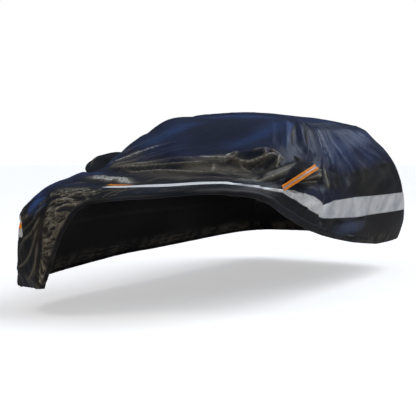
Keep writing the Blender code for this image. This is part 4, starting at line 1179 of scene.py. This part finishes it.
def cloth_looks(name):
    """Coated cloth coloured by painted sky reflections and shade, with a ripstop grid, painted highlights on
    crinkles where slack and on crests, painted shade along its edges, and stitches.
    """
    black, navy, painted_sky_blue, shine, shine_tint = CLOTHS[name]
    looks = bpy.data.materials.new(name)
    nodes = Nodes(looks)
    crest, seam, tone, slack = (nodes.mark(mark) for mark in ("crest", "seam", "tone", "slack"))
    fine = nodes.noise(60.0, 4.0, 0.65)
    crinkle = nodes.noise(9.0, 4.0, 0.5, 0.5, noise_type="RIDGED_MULTIFRACTAL", normalize=True)
    ripstop = grid_lines(nodes, 0.0130, 0.0009)
    thread = stitches(nodes, seam, 0.006, 0.004)
    # Painted reflection level, with a little random mottle added.
    mottled_painted_reflection = nodes.math("ADD", tone, nodes.step(nodes.noise(2.6), 0.30, 0.70, -0.22, 0.22))
    colour = nodes.mix(nodes.math("ADD", mottled_painted_reflection, 0.0, clamp=True), black, navy)
    colour = nodes.mix(nodes.math("SUBTRACT", mottled_painted_reflection, 1.0, clamp=True), colour, painted_sky_blue)
    colour = nodes.mix(nodes.times(ripstop, 0.35), colour, CLOTH_GRID)
    # Colour of the painted crest highlights: brown-gold on the dark parts, bluer where a sky reflection is
    # painted.
    crest_highlight_colour = CREST_HIGHLIGHT_ON_BLACK
    if name == "navy_cloth":
        crest_highlight_colour = nodes.mix(nodes.step(mottled_painted_reflection, 0.25, 0.9), CREST_HIGHLIGHT_ON_BLACK, CREST_HIGHLIGHT_ON_NAVY)
    # Painted highlights along the crinkle lines where the cloth is slack.
    crinkle_highlights = nodes.times(nodes.step(crinkle, 0.50, 0.85), slack)
    colour = nodes.mix(nodes.times(crinkle_highlights, 0.60), colour, crest_highlight_colour)
    # Painted highlights on the crests, made patchy by fine noise; the strongest turn to a pale painted glint.
    patchy_crest_highlights = nodes.times(crest, nodes.step(fine, 0.30, 0.60, 0.35, 1.0))
    colour = nodes.mix(nodes.times(patchy_crest_highlights, 0.85, clamp=True), colour, crest_highlight_colour)
    colour = nodes.mix(nodes.math("SUBTRACT", patchy_crest_highlights, 0.95, clamp=True), colour, PAINTED_CREST_GLINT)
    colour = nodes.mix(nodes.times(thread, 0.5), colour, CLOTH_THREAD)
    # Painted shade along each piece's edge.
    colour = nodes.mix(nodes.step(seam, 0.0, 0.004, 0.6, 0.0), colour, CLOTH_EDGE_SHADE)
    relief = nodes.bump(0.8, nodes.times(crinkle, nodes.times(slack, 0.0085)), nodes.times(ripstop, 0.00030),
                        nodes.times(nodes.noise(420.0, 2.0), 0.00010),
                        nodes.step(seam, 0.0, 0.012, 0.0015, 0.0), nodes.times(thread, 0.0004))
    nodes.fill(nodes.shader, {"Base Color": colour, "Roughness": nodes.step(fine, 0.2, 0.8, 0.30, 0.42),
                              "Specular IOR Level": shine, "Specular Tint": shine_tint, "Sheen Weight": 0.01,
                              "Normal": relief})
    return looks


def silver_looks():
    """Reflective woven tape, with painted highlights on its crests and a painted glint and faint painted glow
    along the drawn-back strip, whose lower edge is painted black as shade.
    """
    looks = bpy.data.materials.new("silver_tape")
    nodes = Nodes(looks)
    crest, seam, glint, trim = (nodes.mark(mark) for mark in ("crest", "seam", "glint", "trim"))
    weave = grid_lines(nodes, 0.0030, 0.0004)
    thread = stitches(nodes, seam, 0.004, 0.004)
    broad = nodes.step(nodes.noise(7.0, 2.0, vector=nodes.cloth_place()), 0.36, 0.62)
    colour = nodes.mix(broad, (0.40, 0.40, 0.41), (0.60, 0.59, 0.57))
    # Painted highlights on the crests, a painted white glint, and painted black shade on the band's lower
    # edge.
    colour = nodes.mix(nodes.times(crest, 0.7, clamp=True), colour, (0.95, 0.92, 0.86))
    colour = nodes.mix(glint, colour, (1.0, 1.0, 0.98))
    colour = nodes.mix(trim, colour, (0.008, 0.008, 0.008))
    colour = nodes.mix(nodes.times(weave, 0.25), colour, (0.25, 0.26, 0.28))
    colour = nodes.mix(nodes.times(thread, 0.7), colour, (0.20, 0.20, 0.21))
    relief = nodes.bump(0.7, nodes.times(nodes.noise(26.0, 4.0), 0.0016), nodes.times(weave, -0.0001),
                        nodes.times(thread, -0.0004))
    nodes.fill(nodes.shader, {"Base Color": colour, "Normal": relief, "Specular IOR Level": 0.5,
                              "Roughness": nodes.step(nodes.noise(45.0, 4.0, 0.6), 0.2, 0.8, 0.28, 0.42),
                              "Metallic": nodes.step(nodes.math("ADD", trim, glint), 0.0, 1.0, 0.20, 0.0),
                              # The glint glows faintly: a painted glow, not a lamp.
                              "Emission Color": (1.0, 0.99, 0.95),
                              "Emission Strength": nodes.times(glint, 0.08)})
    return looks


def orange_looks():
    """Matt woven tape with pale stitches."""
    looks = bpy.data.materials.new("orange_tape")
    nodes = Nodes(looks)
    weave = grid_lines(nodes, 0.0026, 0.0006)
    thread = stitches(nodes, nodes.mark("seam"), 0.003, 0.0035)
    colour = nodes.mix(nodes.step(nodes.noise(30.0), 0.3, 0.7), (0.95, 0.235, 0.002), (1.0, 0.32, 0.004))
    colour = nodes.mix(nodes.times(weave, 0.3), colour, (0.55, 0.09, 0.005))
    colour = nodes.mix(nodes.times(thread, 0.6), colour, (0.98, 0.50, 0.12))
    relief = nodes.bump(0.6, nodes.times(weave, 0.0002), nodes.times(thread, 0.0004))
    nodes.fill(nodes.shader, {"Base Color": colour, "Roughness": 0.50, "Specular IOR Level": 0.25,
                              "Normal": relief})
    return looks


# ---- the cover's pieces

# Each piece's looks, how it is held, its cut (width and length before it was hung, and its share of that
# rectangle), and for a stretch of the wall the places around where it starts and ends.
PIECES = {
    "front_panel": ("navy_cloth", "draped", 3.40, 3.20, 0.40),
    "roof_panel": ("navy_cloth", "draped", 2.10, 2.30, 0.68),
    "side_panel_left": ("navy_cloth", "draped", 1.90, 0.95, 0.70, 2.0, 3.0),
    "side_panel_right": ("navy_cloth", "draped", 1.90, 0.95, 0.70, -3.0, -2.0),
    "band_front": ("silver_tape", "stretched", 0.08, 3.00, 0.95, BAND_START, 2.0),
    "band_left": ("silver_tape", "stretched", 0.16, 2.15, 1.0, 2.0, 3.0),
    "band_rear": ("silver_tape", "stretched", 0.16, 1.95, 1.0, 3.0, 5.0),
    "band_right": ("silver_tape", "stretched", 0.17, 4.00, 1.0, -3.0, CORNER_SEAM),
    "skirt_front": ("black_cloth", "gathered", 0.32, 3.90, 0.9, GATHER_SEAM, 2.0),
    "skirt_left": ("black_cloth", "gathered", 0.46, 2.15, 0.9, 2.0, 3.0),
    "skirt_rear": ("black_cloth", "gathered", 0.48, 1.95, 1.0, 3.0, 5.0),
    "skirt_right": ("black_cloth", "gathered", 0.55, 4.00, 1.0, -3.0, CORNER_SEAM),
    "mirror_pocket_left": ("black_cloth", "draped", 0.38, 0.45, 0.85),
    "mirror_pocket_right": ("black_cloth", "draped", 0.42, 0.45, 0.85),
}
STRETCH_ROWS = {"draped": (BAND_TOP, ROOF_ROW), "stretched": (SKIRT_TOP, BAND_TOP),
                "gathered": (0.0, BAND_TOP)}
BAND_LIFT = 0.0025


def build_cover():
    wall = Wall()
    for work in (gather_skirt, crumple_band, crumple_cloth, pucker_seams):
        work(wall)
    wall.relief[:, -1] = wall.relief[:, 0]
    points = wall.bare + wall.relief[..., None] * wall.out
    behind_band = points - BAND_LIFT * smooth((wall.row - SKIRT_TOP) / 0.3)[..., None] * wall.out
    makers = {"front_panel": front_panel, "roof_panel": roof_panel}
    for node, (slot, held, width, length, share, *around) in PIECES.items():
        if around:
            hem = held == "gathered"
            places = behind_band if hem else points
            piece = wall_part(wall, places, node, slot, around, STRETCH_ROWS[held], hem)
        else:
            piece = makers.get(node, pouch)(wall, points, node, slot)
    for run in TAPES:
        lay_tapes(*run)


# ---- stage

FLOOR_SIZE = 76.0
FLOOR_PLACE = (0.0, 0.0, -CARRY_POINT[2])
BACKDROP_RADIUS = 40.0
WHITE, BLACK = (1.0, 1.0, 1.0), (0.0, 0.0, 0.0)

# Area lamps: name, place, target, size, power and colour.
LAMPS = (
    ("back", (3.5, 7.0, 5.5), (0.2, 0.5, 0.0), (6.0, 4.0), 80.0, (0.72, 0.83, 1.0)),
    ("low", (-5.5, -8.5, 0.6), (-0.2, -1.8, -0.6), (2.2, 1.6), 45.0, (1.0, 0.90, 0.74)),
    ("front", (-2.5, -7.5, 5.5), (0.0, -0.6, -0.4), (3.0, 3.0), 120.0, (1.0, 0.95, 0.86)),
    ("side", (7.5, 1.0, 3.0), (0.6, 0.3, -0.3), (4.0, 3.0), 20.0, (0.88, 0.92, 1.0)),
)
SUN_POWER, SUN_ANGLE, SUN_COLOUR = 1.75, 58.0, (0.86, 0.92, 1.0)
SUN_TURN = (math.radians(-30.0), math.radians(35.0), 0.0)

# Colours of the surround by height: 0 is straight down, 0.5 the horizon and 1 straight up.
SKY = (
    (0.00, (0.26, 0.26, 0.27)),
    (0.44, (0.20, 0.20, 0.21)),
    (0.52, (0.022, 0.021, 0.020)),
    (0.70, (0.050, 0.062, 0.090)),
    (1.00, (0.24, 0.29, 0.39)),
)


def stage_piece(name, mesh, looks):
    mesh.materials.append(looks)
    piece = placed(name, mesh, FLOOR_PLACE)
    piece.visible_glossy = False
    return piece


def add_floor():
    """A pale floor that mirror-like reflections do not show."""
    corners = [(x * FLOOR_SIZE / 2, y * FLOOR_SIZE / 2, 0) for x, y in ((-1, -1), (1, -1), (1, 1), (-1, 1))]
    mesh = bpy.data.meshes.new("floor")
    mesh.from_pydata(corners, [], [range(4)])
    looks = bpy.data.materials.new("floor")
    nodes = Nodes(looks)
    colour = nodes.mix(nodes.step(nodes.noise(0.8, 2.0), 0.3, 0.7), (0.95, 0.91, 0.86), (0.98, 0.94, 0.89))
    nodes.fill(nodes.shader, {"Base Color": colour, "Roughness": 0.85, "Specular IOR Level": 0.1,
                              "Emission Color": WHITE, "Emission Strength": 0.50})
    stage_piece("floor", mesh, looks)


def add_backdrop():
    """A pale dome behind everything, which lights nothing."""
    mesh = bpy.data.meshes.new("backdrop")
    dome = bmesh.new()
    bmesh.ops.create_uvsphere(dome, u_segments=48, v_segments=24, radius=BACKDROP_RADIUS)
    dome.to_mesh(mesh)
    dome.free()
    looks = bpy.data.materials.new("backdrop")
    nodes = Nodes(looks)
    nodes.fill(nodes.shader, {"Base Color": BLACK, "Specular IOR Level": 0.0,
                              "Emission Color": WHITE, "Emission Strength": 1.0})
    backdrop = stage_piece("backdrop", mesh, looks)
    backdrop.visible_diffuse = backdrop.visible_shadow = False


def add_sky():
    """The surround that lights the cloth: pale below, dark at eye height, dim and bluer overhead."""
    world = bpy.context.scene.world = bpy.data.worlds.new("studio")
    nodes = Nodes(world, "Background")
    parts = nodes.add("ShaderNodeSeparateXYZ", {0: nodes.add("ShaderNodeTexCoord").outputs["Generated"]})
    height = nodes.add("ShaderNodeMapRange", {"Value": parts.outputs["Z"], "From Min": -1.0})
    colours = nodes.add("ShaderNodeValToRGB", {0: height.outputs[0]})
    ramp = colours.color_ramp.elements
    for index, (place, colour) in enumerate(SKY):
        element = ramp[index] if index < 2 else ramp.new(place)
        element.position = place
        element.color = (*colour, 1.0)
    nodes.fill(nodes.shader, {"Color": colours.outputs[0]})


def add_lights():
    sun = bpy.data.lights.new("overhead", "SUN")
    sun.energy, sun.angle, sun.color = SUN_POWER, math.radians(SUN_ANGLE), SUN_COLOUR
    placed("overhead", sun).rotation_euler = SUN_TURN
    for name, place, target, size, power, colour in LAMPS:
        light = bpy.data.lights.new(name, "AREA")
        light.shape = "RECTANGLE"
        light.size, light.size_y = size
        light.energy, light.color = power, colour
        turn = (Vector(target) - Vector(place)).to_track_quat("-Z", "Y")
        placed(name, light, place).rotation_euler = turn.to_euler()


def main():
    add_camera()
    bpy.context.scene.view_settings.view_transform = "Standard"
    LOOKS.update({name: cloth_looks(name) for name in CLOTHS})
    LOOKS.update(silver_tape=silver_looks(), orange_tape=orange_looks())
    build_cover()
    for work in (add_floor, add_backdrop, add_sky, add_lights):
        work()


main()
